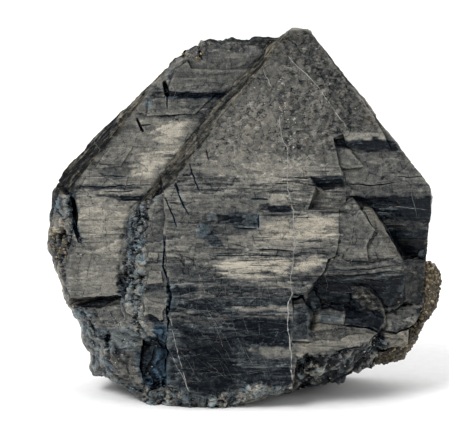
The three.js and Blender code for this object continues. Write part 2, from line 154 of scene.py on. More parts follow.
def smooth(low, high, x):
    """0 up to low and 1 from high on, with a smooth rise between them."""
    t = np.clip((x - low) / (high - low), 0, 1)
    return t * t * (3 - 2 * t)


# ---- lines and patches on the face
def line_distance(points, run):
    """Distance to a run of straight pieces, and how far along it from 0 to 1."""
    run = np.array(run, float)
    lengths = np.linalg.norm(np.diff(run, axis=0), axis=1)
    ends = np.concatenate([[0], np.cumsum(lengths)])
    best = np.full(len(points), 1e3)
    along = np.zeros(len(points))
    for k, (a, b) in enumerate(zip(run[:-1], run[1:])):
        t = np.clip(((points - a) @ (b - a)) / max(lengths[k] ** 2, 1e-12), 0, 1)
        distance = np.linalg.norm(points - a - t[:, None] * (b - a), axis=1)
        along = np.where(distance < best, (ends[k] + t * lengths[k]) / ends[-1], along)
        best = np.minimum(best, distance)
    return best, along


def rim_distance(points, outline):
    """Distance to the rim of an outline."""
    return line_distance(points, np.vstack([outline, outline[:1]]))[0]


def inside_of(points, outline):
    """Which points lie inside an outline."""
    inside = np.zeros(len(points), bool)
    for (u1, v1), (u2, v2) in zip(outline, np.roll(outline, -1, axis=0)):
        if v1 != v2:
            crosses = (v1 > points[:, 1]) != (v2 > points[:, 1])
            inside ^= crosses & (points[:, 0] < (u2 - u1) * (points[:, 1] - v1) / (v2 - v1) + u1)
    return inside


def patch(uv, outline, soft):
    """1 inside an outline and 0 outside, fading over soft millimetres on either side of it."""
    outline = np.array(outline, float)
    distance = rim_distance(uv, outline)
    return smooth(-soft, soft, np.where(inside_of(uv, outline), distance, -distance))


def patches(uv, outlines, soft):
    """The same for several outlines together."""
    return np.max([patch(uv, outline, soft) for outline in outlines], axis=0)


SLOTS = [  # half width, depth, run
    # the fan beside the front crystal's upper left edge
    (0.2, 0.3, (-13.7, 61.6), (-12.6, 58.6), (-11.2, 54.6)),
    (0.34, 0.4, (-17.3, 57), (-16.4, 54.6)),
    (0.24, 0.4, (-16.8, 55.4), (-15.8, 52.4), (-13.8, 48.6)),
    (0.2, 0.35, (-20, 54), (-18.9, 51.2), (-17.4, 47.4), (-16.6, 45)),
    (0.16, 0.3, (-9.8, 65.4), (-9, 62.4)),
    # the fissure down the left of the broad face
    (0.28, 0.6, (-20.5, 44), (-20, 41), (-20.3, 36), (-19.2, 32.5), (-19, 30), (-18.8, 27), (-19.5, 24),
     (-19, 22), (-19.3, 18)),
    (0.65, 1, (-19.3, 31.6), (-18.8, 28), (-19.5, 23.6)),
    (0.25, 0.5, (-19.3, 18), (-19.5, 12), (-19.3, 6)),
    # the left crystal
    (0.7, 1.6, (-20.4, 82.6), (-19.8, 80.4), (-19.4, 78.2)),
    (0.2, 0.5, (-19.5, 78.6), (-19.6, 75.3)),
    (0.4, 0.9, (-27.3, 73.3), (-26.4, 71.5), (-25.5, 69.5)),
    (0.4, 0.8, (-14.2, 87.5), (-13.2, 85.5)),
    (0.22, 0.4, (-26, 71.4), (-23.4, 71.5)),
    (0.85, 0.35, (-19, 78.9), (-12, 78.8), (-5, 79)),
    (0.2, 0.3, (-23.8, 73.6), (-19, 73.8), (-14.6, 74)),
    (0.18, 0.25, (-41, 56), (-35, 55.7), (-30, 56.2), (-23.5, 56.4)),
    (0.2, 0.3, (-36, 54.6), (-31, 54.5), (-27.5, 54.9)),
    (0.3, 0.3, (-31, 52.3), (-28, 52.6), (-25.5, 52.5)),
    (0.14, 0.2, (-37, 61.6), (-32.6, 61.4)),
    (0.14, 0.2, (-35.5, 58.7), (-30, 58.6)),
    (0.6, 1.2, (-43.5, 48), (-42, 44), (-41, 41.5)),
    (0.5, 1, (-44.5, 53.5), (-43.4, 51), (-42.6, 48.6)),
    # short black lines and ledges on the broad face
    (0.17, 0.3, (7.4, 56.5), (10.7, 56.4)),
    (0.2, 0.35, (12, 58.1), (16.2, 58.1)),
    (0.3, 0.2, (1.4, 52.7), (6, 52.4)),
    (0.5, 0.3, (5.8, 49.8), (11.6, 49.7)),
    (0.25, 0.3, (3.4, 49), (3.3, 45.6)),
    (0.22, 0.3, (-1.6, 45.6), (3, 45.4)),
    (0.16, 0.25, (-8, 38.4), (0, 38.7), (11, 38.3)),
    (0.2, 0.2, (2, 40.2), (11.8, 39.8)),
    (0.16, 0.2, (13, 42), (22, 42.2)),
    # the right shoulder and the triangular crystal
    (0.2, 0.4, (25, 56.5), (35, 56.3), (38, 57)),
    (0.14, 0.25, (38, 58.5), (45, 58.3)),
    (0.13, 0.2, (28.5, 51.5), (30, 49.5), (32.3, 45.5), (33, 44), (31.5, 41.5), (30.5, 40.2)),
    (0.16, 0.2, (20, 34.9), (30, 35.2), (39, 36.2)),
    (0.18, 0.2, (19, 33.2), (29, 33.8), (38.4, 34.9)),
    (0.25, 0.5, (23, 21.2), (32, 20.3), (41, 19.5)),
    (0.3, 0.5, (12, 29), (15.3, 29.5)),
    (0.2, 0.4, (22, 14), (25, 15.3), (29, 15.8), (32.5, 18.2)),
]

VEINS = [  # half width, how unbroken from 0 to 1, shade, run
    (0.16, 0.97, 0.45, (8.8, 74), (9, 70), (9.5, 67.5), (10.7, 65.5), (10.8, 62), (10.8, 58), (10.8, 55.5),
     (11.6, 52), (12.2, 50), (12.3, 46), (12.6, 43), (12.5, 40.5), (12.2, 37), (11.5, 33), (11.6, 31)),
    (0.18, 1, 0.56, (11.6, 31), (12, 29), (11, 27), (10.9, 24), (10.8, 21.5), (11.2, 18), (11.6, 14),
     (11.8, 10), (12.1, 7), (12.7, 5.6)),
    (0.13, 0.9, 0.5, (4.6, 85.6), (5.6, 83), (7, 80.6)),
    (0.13, 0.85, 0.5, (-18.8, 24), (-17.6, 18), (-15.8, 11), (-14, 4.6)),
    (0.1, 0.8, 0.5, (-18.4, 14), (-16.9, 10.6), (-14.2, 6)),
    (0.11, 0.92, 0.6, (10.8, 88.8), (13, 86), (15.4, 84), (18, 81.4), (20.4, 78), (22.6, 74.6),
     (25.8, 70.7)),
    (0.12, 0.8, 0.4, (11.8, 92.6), (13, 91.6), (14, 90.2)),
    (0.08, 0.8, 0.3, (33, 50.6), (39, 50.7), (45.6, 50.2)),
    (0.08, 0.8, 0.3, (33.4, 62.6), (35, 59.8)),
    (0.08, 0.8, 0.3, (41.4, 58.4), (41.9, 54), (43.4, 48)),
    (0.07, 0.6, 0.4, (-12.6, 38), (-11.4, 34), (-9.6, 28.4)),
    (0.1, 0.6, 0.5, (-18.4, 31.4), (-15, 31.6), (-11.6, 31.8)),
]


# ---- fine mesh on the CAD faces
WELD = 2e-6  # metres between points that are one
FINE = (0.55, 0.305)  # point spacing along and across the striae on faces that look forward
COARSE = 0.8  # point spacing on the sides, the back and the base
FLAT_WITHIN = math.radians(0.6)  # CAD triangles this close to one plane are one face
ROW_PITCH = 0.866  # of a hexagonal net of pitch 1
NET_JITTER, NET_FROM_RIM, NET_FROM_EXTRA, EXTRA_FROM_RIM = 0.22, 0.45, 0.55, 0.3  # in the same pitch


def looks_forward(normal):
    return normal[2] > 0.5


def pieces_along(step, forward):
    """How many pieces an edge with this step (in face coordinates) is divided into."""
    if forward:
        pieces = math.hypot(step[0] / FINE[0], math.hypot(step[1], step[2]) / FINE[1])
    else:
        pieces = np.linalg.norm(step) / COARSE
    return max(1, math.ceil(pieces - 0.2))


def slot_points():
    """Extra points along the slots, so that their sides come out clean."""
    places = []
    for half_width, _, *run in SLOTS:
        run = np.array(run, float)
        for a, b in zip(run[:-1], run[1:]):
            length = np.linalg.norm(b - a)
            across = np.array([a[1] - b[1], b[0] - a[0]]) / length
            for t in np.arange(0, length, 0.3) / length:
                places.extend(a + (b - a) * t + across * half_width * side for side in (-1, -0.4, 0.3, 1))
    return np.array(places)


def clear_of_rim(points, outline, gap):
    """The points that lie inside an outline with a gap to its rim."""
    return points[inside_of(points, outline) & (rim_distance(points, outline) > gap)]


def inner_points(outline, random, extra):
    """Points of a jittered hexagonal net inside an outline, and the extra points inside it."""
    low, high = outline.min(axis=0), outline.max(axis=0)
    rows = np.arange(low[1], high[1], ROW_PITCH)
    columns = np.arange(low[0], high[0] + 1)
    net = np.array([(x + 0.5 * (k % 2), y) for k, y in enumerate(rows) for x in columns]).reshape(-1, 2)
    net = net + random.uniform(-NET_JITTER, NET_JITTER, net.shape)
    net = clear_of_rim(net, outline, NET_FROM_RIM)
    extra = extra[np.all((extra > low) & (extra < high), axis=1)]
    extra = clear_of_rim(extra, outline, EXTRA_FROM_RIM)
    if len(extra) and len(net):
        tree = KDTree(len(extra))
        for k, (x, y) in enumerate(extra):
            tree.insert((x, y, 0), k)
        tree.balance()
        net = net[[tree.find((x, y, 0))[2] > NET_FROM_EXTRA for x, y in net]]
    return np.vstack([net, extra])


def welded(node):
    """The mesh of a CAD node with its corners joined, as a bmesh."""
    shape = bmesh.new()
    shape.from_mesh(node.data)
    bmesh.ops.remove_doubles(shape, verts=shape.verts, dist=WELD)
    return shape


def divide_edges(shape, points, normals):
    """Adds points along each edge. Gives each edge's first corner and the numbers of its points."""
    between = {}
    for edge in shape.edges:
        a, b = (corner.index for corner in edge.verts)
        step = points[b] - points[a]
        count = pieces_along(step, any(looks_forward(normals[face]) for face in edge.link_faces))
        between[edge] = (a, list(range(len(points), len(points) + count - 1)))
        points.extend(points[a] + step * k / count for k in range(1, count))
    return between


def net_axes(normal):
    """The two directions in a face in which its net is laid out, each divided by its spacing."""
    if looks_forward(normal):
        return np.array([[1 / FINE[0], 0, 0], [0, 1 / FINE[1], 0]])
    first = np.cross(normal, (0, 0, 1) if abs(normal[2]) < 0.9 else (0, 1, 0))
    first /= np.linalg.norm(first)
    return np.array([first, np.cross(normal, first)]) / COARSE


def fine_mesh(node, seed, extra):
    """Points in face coordinates, triangles, and the CAD normal of each triangle."""
    random = np.random.default_rng(seed)
    shape = welded(node)
    bmesh.ops.dissolve_limit(shape, angle_limit=FLAT_WITHIN, verts=shape.verts, edges=shape.edges)
    shape.verts.index_update()
    points = list(to_face([v.co for v in shape.verts]))
    normals = {face: AXES @ np.array(face.normal) for face in shape.faces}
    between = divide_edges(shape, points, normals)
    triangles, facing = [], []
    for face, normal in normals.items():
        rim = []
        for loop in face.loops:
            start, middle = between[loop.edge]
            rim.append(loop.vert.index)
            rim.extend(middle if start == loop.vert.index else middle[::-1])
        across = net_axes(normal)
        flat = np.array([points[k] for k in rim]) @ across.T
        inner = inner_points(flat, random, extra / FINE if looks_forward(normal) else extra[:0])
        if len(rim) == 3 and not len(inner):
            triangles.append(rim)
            facing.append(normal)
            continue
        names = rim + list(range(len(points), len(points) + len(inner)))
        back = np.linalg.inv(np.vstack([across, normal]))
        points.extend(np.column_stack([inner, np.full(len(inner), points[rim[0]] @ normal)]) @ back.T)
        net = [Vector(place) for place in np.vstack([flat, inner])]
        _, _, made, origins, _, sources = delaunay_2d_cdt(net, [], [list(range(len(rim)))], 0, 1e-7, True)
        for triangle, source in zip(made, sources):
            corners = [names[origins[k][0]] for k in triangle] if source else []
            if len(set(corners)) == 3:
                triangles.append(corners)
                facing.append(normal)
    shape.free()
    return np.array(points), np.array(triangles), np.array(facing)


# ---- where each kind of surface lies
CRUMBLED = [
    # the wall left of the narrow face
    [(-25.5, 53), (-27, 51.5), (-29, 48.5), (-30.3, 45.5), (-30, 42), (-30.5, 37), (-31.5, 34.5), (-32, 32),
     (-31.5, 29.5), (-30, 27.5), (-29.5, 25), (-28.5, 21.5), (-27.5, 19), (-25, 19), (-25.2, 30),
     (-24.6, 40), (-24, 47), (-23.5, 53)],
    # the left rim
    [(-52, 58), (-47, 58), (-43.5, 54), (-42.5, 48), (-43.5, 42), (-45, 37), (-45, 30), (-43, 26), (-46, 24),
     (-52, 36)],
    # the crust at the lower left
    [(-46, 27), (-39, 25), (-37, 20.5), (-34, 18.5), (-33.5, 13), (-31, 6.5), (-27, 5), (-25, 8), (-19.5, 6),
     (-17, 5.5), (-14, 4.5), (-10, 3), (-6, 5), (0, 6.3), (6, 7), (11, 5.3), (12.6, 5.6), (12, -4),
     (-30, -4), (-46, 6)],
    # the black broken edge at the lower right
    [(12.8, 5), (13.4, 14), (22, 13.6), (25, 15), (29, 15.6), (32, 17.6), (34.4, 19.4), (36, 15), (46, 10),
     (30, 0), (12, -4)],
    # the upper left corner
    [(-16.5, 91), (-17, 89.5), (-14, 87.6), (-10.5, 89.4), (-9, 92), (-9, 96), (-18, 96)],
]
BLACK_CRUST = [
    (12.8, 5), (13.4, 14), (22, 13.6), (25, 15), (29, 15.6), (34.4, 19), (36, 14), (34, 2), (12, -2),
]
PIT = [(-25.6, 18.4), (-19, 19.2), (-19, 5), (-24.6, 4.4), (-26, 9)]
WORN_EDGES = [  # where straight edges wander
    [(-48, 32), (-38, 23), (-31, 24), (-28, 30), (-20.6, 30), (-20.2, 20), (-18.6, 20), (-18.6, 3), (-30, 3),
     (-48, -6)],
    [(12.6, 31), (17.6, 31), (17.6, 17), (12.6, 17)],
    [(30, 26), (46, 26), (46, 8), (30, 8)],
    [(-21, 86), (-12, 87), (7, 91), (7, 98), (-21, 98)],
]
PITTED = [
    (-14, 61.5), (-4, 75), (5, 87), (11, 96), (18, 96), (35.5, 71), (25, 69.5), (22, 64), (12, 60),
    (2, 62.5), (-8, 63),
]
BEVEL = [(-15.5, 91), (-50, 56), (-44, 54.5), (-40, 60), (-33, 68), (-25, 79), (-18, 87), (-14.5, 89.5)]
DARK_SIDE = [
    (8.4, 94.6), (3.4, 88), (-1.8, 82.6), (-10, 73.3), (-20, 60.2), (-27, 51.5), (-23.2, 52.4), (-17, 57.8),
    (-9.5, 67.8), (-5, 74.2), (5, 85.9), (9.9, 93.2), (11.2, 95.4),
]
STREAKED = [  # how streaky the plain faces are, from 0 (smooth) to 1, and an outline
    (0.65, (-46, 57), (-28, 57), (-31, 40), (-31, 26), (-46, 26)),
    (0.6, (-24, 82), (-5, 82), (-10, 75), (-14, 72.5), (-24, 72.5)),
    (1, (-21, 60), (25, 61), (25, 38), (18, 31), (-21, 31)),
    (0.75, (-21, 31), (16, 31), (16, 22), (-21, 22)),
    (0.6, (-21, 22), (12, 22), (12, 3), (-21, 3)),
    (0.8, (12, 18), (30, 18), (24, 13), (12, 13)),
    (1, (26, 53), (48, 53), (47, 26), (40, 26), (40, 38)),
    (1, (22, 68), (39, 68), (39, 64.6), (22, 64.6)),
    (0.9, (20, 38.8), (40.4, 38.8), (40.6, 26), (16, 25)),
]
SHELL = (24.5, 22.5)  # the middle of the arcs of the shell-shaped break
SHELL_BREAK = [(26.6, 31), (31, 31.4), (34.8, 27), (34.6, 23.4), (31, 23.6), (28, 27)]
BUMPS = [  # middle, radius, height, tone, warmth
    ((-35.5, 13.3), 0.75, 0.4, 0.85, 0.4),
    ((-16.5, 3.3), 0.6, 0.3, 0.7, 0.2),
    ((-10.2, 45), 1.6, 0.5, 0.3, -0.7),
    ((-8.1, 48.6), 1.1, 0.4, 0.34, -0.5),
    ((18.2, 25.8), 0.9, 0.45, 0.22, -0.9),
    ((-47, 51.6), 1.1, 0.4, 0.44, -0.9),
    ((-18.2, 31.3), 0.9, 0.3, 0.5, -0.6),
    ((44.4, 39), 1.1, 0.3, 0.16, -0.6),
    ((-37.2, 11), 1.1, 0.3, 0.55, -0.8),
    ((-17.3, 12.5), 0.7, 0.2, 0.35, -0.8),
]

# How light each stretch of surface is, from 0 (black) to 1 (pale sheen), how warm it is, from -1.3
# (deep blue) to 1 (rust brown), and its outline. Later stretches lie over earlier ones. The
# lightness is partly the stone's own colour and partly painted sheen: the pale stretches are
# painted reflection of the lights on the striated faces.
TONES = [  # stretches that fade out along the striae
    # left crystal
    (0.46, 0.2, (-46, 57), (-40, 62), (-20, 86), (2, 90), (0, 84), (-27, 51), (-31, 40), (-31, 27),
     (-46, 26)),
    (0.56, 0.3, (-41, 56), (-33, 66), (-24, 74), (-14, 73), (-12, 68), (-28, 50), (-31, 40), (-31, 29),
     (-43, 32)),
    (0.7, 0.3, (-40.5, 54.5), (-28, 55), (-28, 50), (-31.5, 38), (-38, 39), (-40.5, 47)),
    (0.64, 0.2, (-41, 29), (-31.5, 29), (-31, 37), (-40, 36)),
    (0.87, 0.3, (-24, 58), (-15.5, 67), (-15, 72), (-22, 72.4), (-21, 67), (-27, 62.4), (-28, 58.5)),
    (0.38, 0.1, (-26, 78.5), (-18, 87), (2, 89), (-4, 79), (-12, 73.5), (-22, 75)),
    (0.24, -0.2, (-14, 77), (-8, 77), (-6, 75), (-12, 72), (-14.5, 73.5)),
    (0.22, 0.4, (-16, 92), (-14, 89), (8, 90), (10, 95), (-9, 94)),
    (0.4, -0.1, (-37, 60), (-31, 62.6), (-27, 61), (-30, 57.4), (-38, 57)),
    # front crystal, from the top down
    (0.42, 0.35, (10, 97), (19, 95), (37, 69), (24, 69), (22, 62), (-14, 61.5), (-2, 77)),
    (0.5, 0.35, (3, 81), (-4, 73), (-12, 62), (10, 62), (9, 74)),
    (0.32, 0.4, (9, 97), (19, 96), (30, 78), (22, 78), (14, 86), (4, 88)),
    (0.34, 0.4, (22, 80), (29, 79), (37, 69), (24, 69), (18, 67), (20, 73)),
    (0.62, 0.3, (-13, 60), (-6, 64), (6, 63), (16, 64), (21, 60), (15.5, 58), (6, 56.5), (-4, 58.5)),
    (0.74, 0.2, (-16, 57), (-12, 57.4), (-11.6, 54.8), (-15.6, 54.6)),
    (0.43, -0.1, (-19, 56), (-10, 57.5), (4, 56.5), (4, 47), (-3, 41), (-4, 38), (-19.5, 38)),
    (0.3, -0.2, (-9, 50), (1, 50), (0, 46.5), (-5, 42.5), (-9, 43)),
    (0.56, 0.2, (5, 57), (15.4, 57), (15, 51.5), (7, 51), (4, 53.5)),
    (0.44, 0.1, (16.8, 55.5), (24.4, 55.6), (23.6, 50), (17, 50)),
    (0.6, 0.3, (-5, 41), (1, 45.4), (5, 47.4), (12, 49), (24, 49), (23.6, 42), (12, 39.4), (0, 39)),
    (0.84, 0.4, (4, 42.4), (4.6, 46), (11.6, 46.8), (14, 48.6), (22.6, 48), (22.6, 43.6), (13, 42.8)),
    (0.31, -0.3, (-20, 37), (-8, 36), (-7, 33), (11, 32.6), (16, 32), (15, 27), (-20, 27)),
    (0.87, 0.35, (-7, 34), (-5, 37.2), (1, 38.2), (11.6, 37.8), (11.2, 32.3), (0, 32.5)),
    (0.55, 0.2, (0, 32.4), (11.2, 32.2), (11, 30.4), (4, 30.8)),
    (0.84, 0.4, (12.6, 35), (12.8, 38), (19, 38.2), (19.6, 36), (16, 34.6)),
    (0.21, -0.5, (-20, 27.5), (12, 27.5), (12, 2), (-20, 2)),
    (0.3, 0, (-19, 23), (-5, 23), (-6, 21.6), (-19, 21.6)),
    (0.05, -0.6, (-4, 22), (11, 22), (11, 15.8), (2, 16.6)),
    (0.4, 0.2, (2, 15.2), (11.4, 15.4), (24, 15), (24, 13.4), (5, 13.2)),
    (0.05, -0.4, (-16, 20), (-3, 18), (-2, 4), (-14, 4)),
]
FACETS = [  # the same, for stretches that end at an edge
    # the crumbled wall and the narrow face left of the fissure
    (0.42, -0.5, (-27, 51.2), (-23, 54.4), (-19.9, 53), (-19.6, 17), (-29, 18), (-31.6, 26), (-32, 32),
     (-30.4, 38), (-30.4, 45), (-29, 48.6)),
    (0.42, -0.2, (-25, 50.5), (-20, 53), (-19.8, 18), (-24.8, 18)),
    (0.5, 0, (-24.6, 37), (-21.8, 37), (-21.8, 39.6), (-24.4, 39.6)),
    (0.14, -0.4, (-25, 29.6), (-20.6, 29.8), (-20.4, 31), (-24.8, 31.2)),
    (0.5, 0, (-24.6, 31.4), (-20.4, 31.6), (-20.6, 35), (-24.2, 35.2)),
    (0.5, 0, (-25, 23.2), (-20.6, 23.2), (-20.6, 27), (-24.8, 27)),
    (0.1, -0.8, (-24, 21), (-20.4, 21), (-20.2, 23), (-23.8, 23)),
    # bluish patches, steps on the left crystal and on the broad face
    (0.4, -0.6, (-26, 78.2), (-23.2, 78.6), (-22.6, 75.8), (-24.6, 74.8)),
    (0.4, -0.6, (-20.4, 86.4), (-18.2, 87.4), (-17.2, 85.2), (-19.6, 83.4)),
    (0.08, -0.6, (-19.2, 79.9), (-12, 79.7), (-4, 79.9), (-4.6, 78), (-12, 77.9), (-19.2, 78)),
    (0.52, 0.1, (-19, 80.6), (-10, 80.5), (-10, 80), (-19, 79.9)),
    (0.12, 0.5, (-7, 92.4), (8, 91), (10, 95.5), (-7, 95.5)),
    (0.04, -0.6, (5.9, 50.6), (11.6, 50.4), (11.7, 49), (6.2, 49.1)),
    (0.19, -0.6, (-6.4, 47.6), (-4, 49), (0, 49.5), (3.4, 48.7), (3.3, 45.5), (-1.6, 45.8), (-4.6, 46.6)),
    (0.2, -0.6, (-10.4, 43.8), (-8, 44), (-6, 42), (-5.4, 40.6), (-8.4, 40.6)),
    (0.74, 0.3, (6.8, 53.4), (7.6, 53.8), (11.3, 53.7), (11.4, 50.7), (6.6, 50.8)),
    (0.2, -0.3, (-45, 55.7), (-37, 56.2), (-26, 56.1), (-26, 55.4), (-36, 55.2), (-45, 54.9)),
    (0.24, -0.3, (-37, 53.9), (-29, 54.2), (-24, 53.9), (-24, 52.9), (-31, 52.8), (-37, 53.3)),
    # black stretches and pale lines low on the broad face
    (0.12, -0.5, (-18.8, 31.2), (-12, 31.3), (-12.4, 29.2), (-18.8, 29)),
    (0.08, -0.5, (-18.6, 26.6), (-11, 27.2), (-4, 26.6), (-5, 24.4), (-18.4, 24.4)),
    (0.45, 0.1, (-18.8, 24.2), (-6, 24.3), (-6, 23.9), (-18.8, 23.6)),
    (0.54, 0.2, (-19.2, 39.5), (-9, 39.3), (-9, 38.7), (-19.2, 38.4)),
    (0.6, 0.2, (-3, 25.5), (11, 26), (11, 24.9), (-1, 24.6)),
    (0.03, -0.6, (-3.6, 22.4), (11, 22.6), (11, 16.2), (4.4, 16), (1, 18.4)),
    (0.52, 0.2, (3.4, 15.4), (11.6, 15.6), (11.6, 13.4), (4.6, 13.1)),
    (0.52, 0.2, (-1, 23.9), (11, 24.1), (11, 23), (1, 22.9)),
    # the blue-black pit below the narrow face
    (0.22, -1.3, (-25.9, 17.8), (-23, 18.6), (-22.4, 20.6), (-19.8, 21), (-19.2, 5), (-23.4, 4), (-25.6, 7)),
    (0.16, -1.2, (-27.6, 13), (-25.6, 15.6), (-25.2, 9), (-26.8, 8.4)),
    # painted shadow in the top left of the pit, under its rim
    (0.06, -0.9, (-25.9, 17.8), (-20.4, 18.9), (-21, 16), (-23.4, 13.6), (-24.6, 9), (-25.8, 9)),
    # lower left
    (0.44, -0.5, (-47, 27), (-39, 25), (-28, 26), (-27, 19), (-25.6, 5), (-28, 2), (-42, 4)),
    (0.16, -0.5, (-41.4, 26.2), (-31.6, 28.6), (-31.4, 27.6), (-34, 26.4), (-39.6, 25.2)),
    (0.47, -0.2, (-38, 25), (-28, 26), (-28, 20.6), (-37, 20.8)),
    (0.33, 0.4, (-34, 14), (-27, 14.6), (-26, 6), (-30, 5.6)),
    (0.04, -0.4, (-32.4, 15.8), (-30.6, 15.6), (-30.5, 13.9), (-32.5, 14)),
    (0.56, -0.45, (-25, 5), (-19, 6), (-10, 3), (0, 6.3), (12, 5.6), (12, -2), (-25, -2)),
    # right shoulder and the dark face below it
    (0.4, 0.1, (22, 70), (35, 70), (50, 53.4), (25, 53.2), (22, 60)),
    (0.66, 0.3, (25, 69.4), (34.8, 69.4), (36, 68), (25.2, 68)),
    (0.02, -0.6, (22.6, 67.8), (38, 67.6), (38.6, 65), (27.6, 65), (22.6, 66.2)),
    (0.03, -0.6, (16, 58.4), (24.8, 58.6), (24.8, 55.8), (17, 55.6)),
    (0.05, -0.6, (26, 53.3), (48, 53.3), (47, 37), (40, 37), (31, 50)),
    (0.2, 0.3, (33.6, 47.2), (46, 47.4), (46, 45.2), (35, 45)),
    (0.15, 0.9, (38.4, 42.6), (46, 42.6), (46, 39.6), (40, 39.2)),
    (0.14, 0.6, (39.6, 37.4), (45.8, 37.4), (45.6, 26.4), (40, 26.4)),
    (0, -0.6, (40.6, 42), (45.2, 41.6), (45.4, 37), (40, 36.8)),
    # triangular crystal and the ledge below it
    (0.43, 0.2, (27.2, 52.9), (31, 50), (39.6, 37.5), (22.6, 37.4), (23.8, 48)),
    (0.34, 0.5, (30, 51.2), (31.4, 50.2), (39.8, 38), (38.6, 37.6), (33.4, 44.6), (29.6, 50.4)),
    (0.55, 0.3, (24, 40.4), (36, 40.8), (38.4, 38), (23, 37.8)),
    (0.27, 0, (21, 37.4), (39.6, 37.4), (40.4, 35), (30, 33.6), (20, 32.4)),
    (0.03, -0.5, (19.6, 33.8), (30, 33.8), (40.4, 34.8), (40.4, 27), (35, 24.8), (16, 25), (16.6, 31)),
    (0.6, 0.2, (19, 34), (29, 34.5), (39.4, 35.9), (39.4, 35.4), (29, 34), (19, 33.5)),
    (0.56, 0.2, (23, 35.9), (38, 36.7), (38, 36.3), (23, 35.4)),
    (0.46, 0.1, (21, 32.8), (33, 33.5), (39, 34.3), (39, 33.9), (31, 33), (21, 32.4)),
    (0.26, 0.6, (27, 31), (31, 31), (34.6, 26), (34, 23.4), (31, 23.6), (28, 27)),
    # lower right
    (0.17, -0.45, (11.8, 28), (15.6, 28), (16.6, 24.6), (16.4, 17), (11.8, 17)),
    (0.42, -0.1, (12.4, 27.2), (14.8, 27.2), (14.8, 25.4), (12.4, 25.4)),
    (0.38, 0.5, (16.6, 24.4), (25, 24), (33.6, 20), (33, 18.4), (29, 17.6), (25, 15.4), (16.6, 15.6)),
    (0.36, -0.5, (18, 24.4), (25, 24), (25, 21.4), (18, 21.6)),
    (0.34, 0.8, (16.6, 24.4), (18.4, 24.4), (18, 20.6), (16.6, 20)),
    (0.05, -0.6, (25, 25), (35, 24), (34.6, 20.4), (25.4, 21.4)),
    (0.54, 0.4, (14, 17.4), (20, 18), (29, 18.2), (29, 16.4), (24, 15.2), (13, 13.8)),
    (0.42, 0.1, (34.6, 20.6), (44, 20.8), (45.6, 26), (35, 25.4)),
    (0.54, 0.5, (35.4, 15.8), (42, 15.4), (43, 20), (35, 19.8)),
    (0.21, -0.35, (12.6, 5), (13.2, 13.4), (22, 13.2), (25, 15), (32, 17), (35, 15), (34, 8), (22, 3)),
    (0.3, -1, (33.2, 17.6), (35, 18), (35, 12), (33, 12)),
    # the rough bevels
    (0.29, 0.95, (-15, 91), (-33, 75), (-32, 68.6), (-25, 79), (-18, 87)),
    (0.07, 0.8, (-33, 75), (-50, 57), (-47, 53), (-42.5, 55), (-40, 60), (-31, 69.5)),
    (0.27, -0.2, (-52, 55), (-47.6, 54), (-43, 52), (-42.6, 41), (-45, 36), (-52, 38)),
    (0.42, 0.65, (-50, 47), (-47, 49), (-44.6, 46), (-44.4, 40), (-46, 34), (-49, 36), (-51, 41)),
    (0.1, -0.6, (-44.6, 54.4), (-42.2, 54.6), (-41.6, 49.4), (-42.9, 48.6)),
    (0.2, -0.8, (-43.6, 48.4), (-42.4, 48.6), (-40, 42.4), (-41.2, 41.6)),
    # a painted shadow in the gap between the ledge and the host rock
    (0.05, 0.2, (43, 25), (46.5, 26), (45, 20), (43.4, 14.6), (42.2, 15.6), (43, 20)),
    (0.4, 0.5, (-48, 35), (-45.4, 36), (-44.6, 29), (-42.8, 26), (-44, 25), (-46.4, 30)),
]


# ---- relief and marks
FLAKES = {  # size along u, v and w in millimetres, seed, tilt
    "wide": ((13, 2.6, 7), 3, 0.3),  # cleavage steps and striae run along u
    "narrow": ((6, 0.9, 5), 5, 0.2),
    "thread": ((3.5, 0.45, 4), 6, 0),
    "grains": (1.25, 15, 1.1),
    "lumps": (2.1, 21, 1.3),
    "bits": (0.95, 23, 1.2),
    "tall": ((3.4, 6.5, 5), 25, 0.8),
    "slabs": ((14, 8, 7), 41, 0.7),
    "sheets": ((9, 7, 0.9), 42, 0.3),
    "chips": ((4.2, 2.4, 2.4), 43, 0.8),
    "plates": ((24, 8, 14), 47, 0.3),
    "fibres": ((1.2, 5, 2.5), 63, 0.6),
}
UP_SLOPE = [(0.67, 0.74, 0), (-0.74, 0.67, 0), (0, 0, 1)]  # slivers run up the slope of the bevels
# the lightening of each flake in the last column is painted sheen
FLAKED = [  # ground, flakes on it, how far they stand out in millimetres, how much lighter they are
    ("plain", "wide", 0.13, 0.08), ("streaky", "narrow", 0.12, 0.1), ("streaky", "thread", 0.06, 0.06),
    ("pitted", "grains", 0.025, 0.02), ("weathered", "grains", 0.06, 0.06), ("pit", "fibres", 0.25, 0.12),
    ("bevel", "slivers", 0.14, 0.14), ("dark_side", "slivers", 0.1, 0.1), ("rough", "chips", 0.1, 0.05),
    ("flanks", "slabs", 0.3, 0.14), ("flanks", "sheets", 0.1, 0.08), ("rear", "plates", 0.25, 0.1),
    ("rear", "wide", 0.14, 0.08),
]
UNEVEN = [  # ground, size and seed of its noise, how far it stands out
    ("bevel", 1.2, 9, 0.08), ("pit", (1.2, 2.4, 1.2), 64, 0.15), ("pitted", 3.2, 17, 0.12),
    ("rough", 1.6, 45, 0.06), ("shell", 1.3, 59, 0.16),
]
START = (0.36, 0.15)  # tone and warmth where no stretch lies


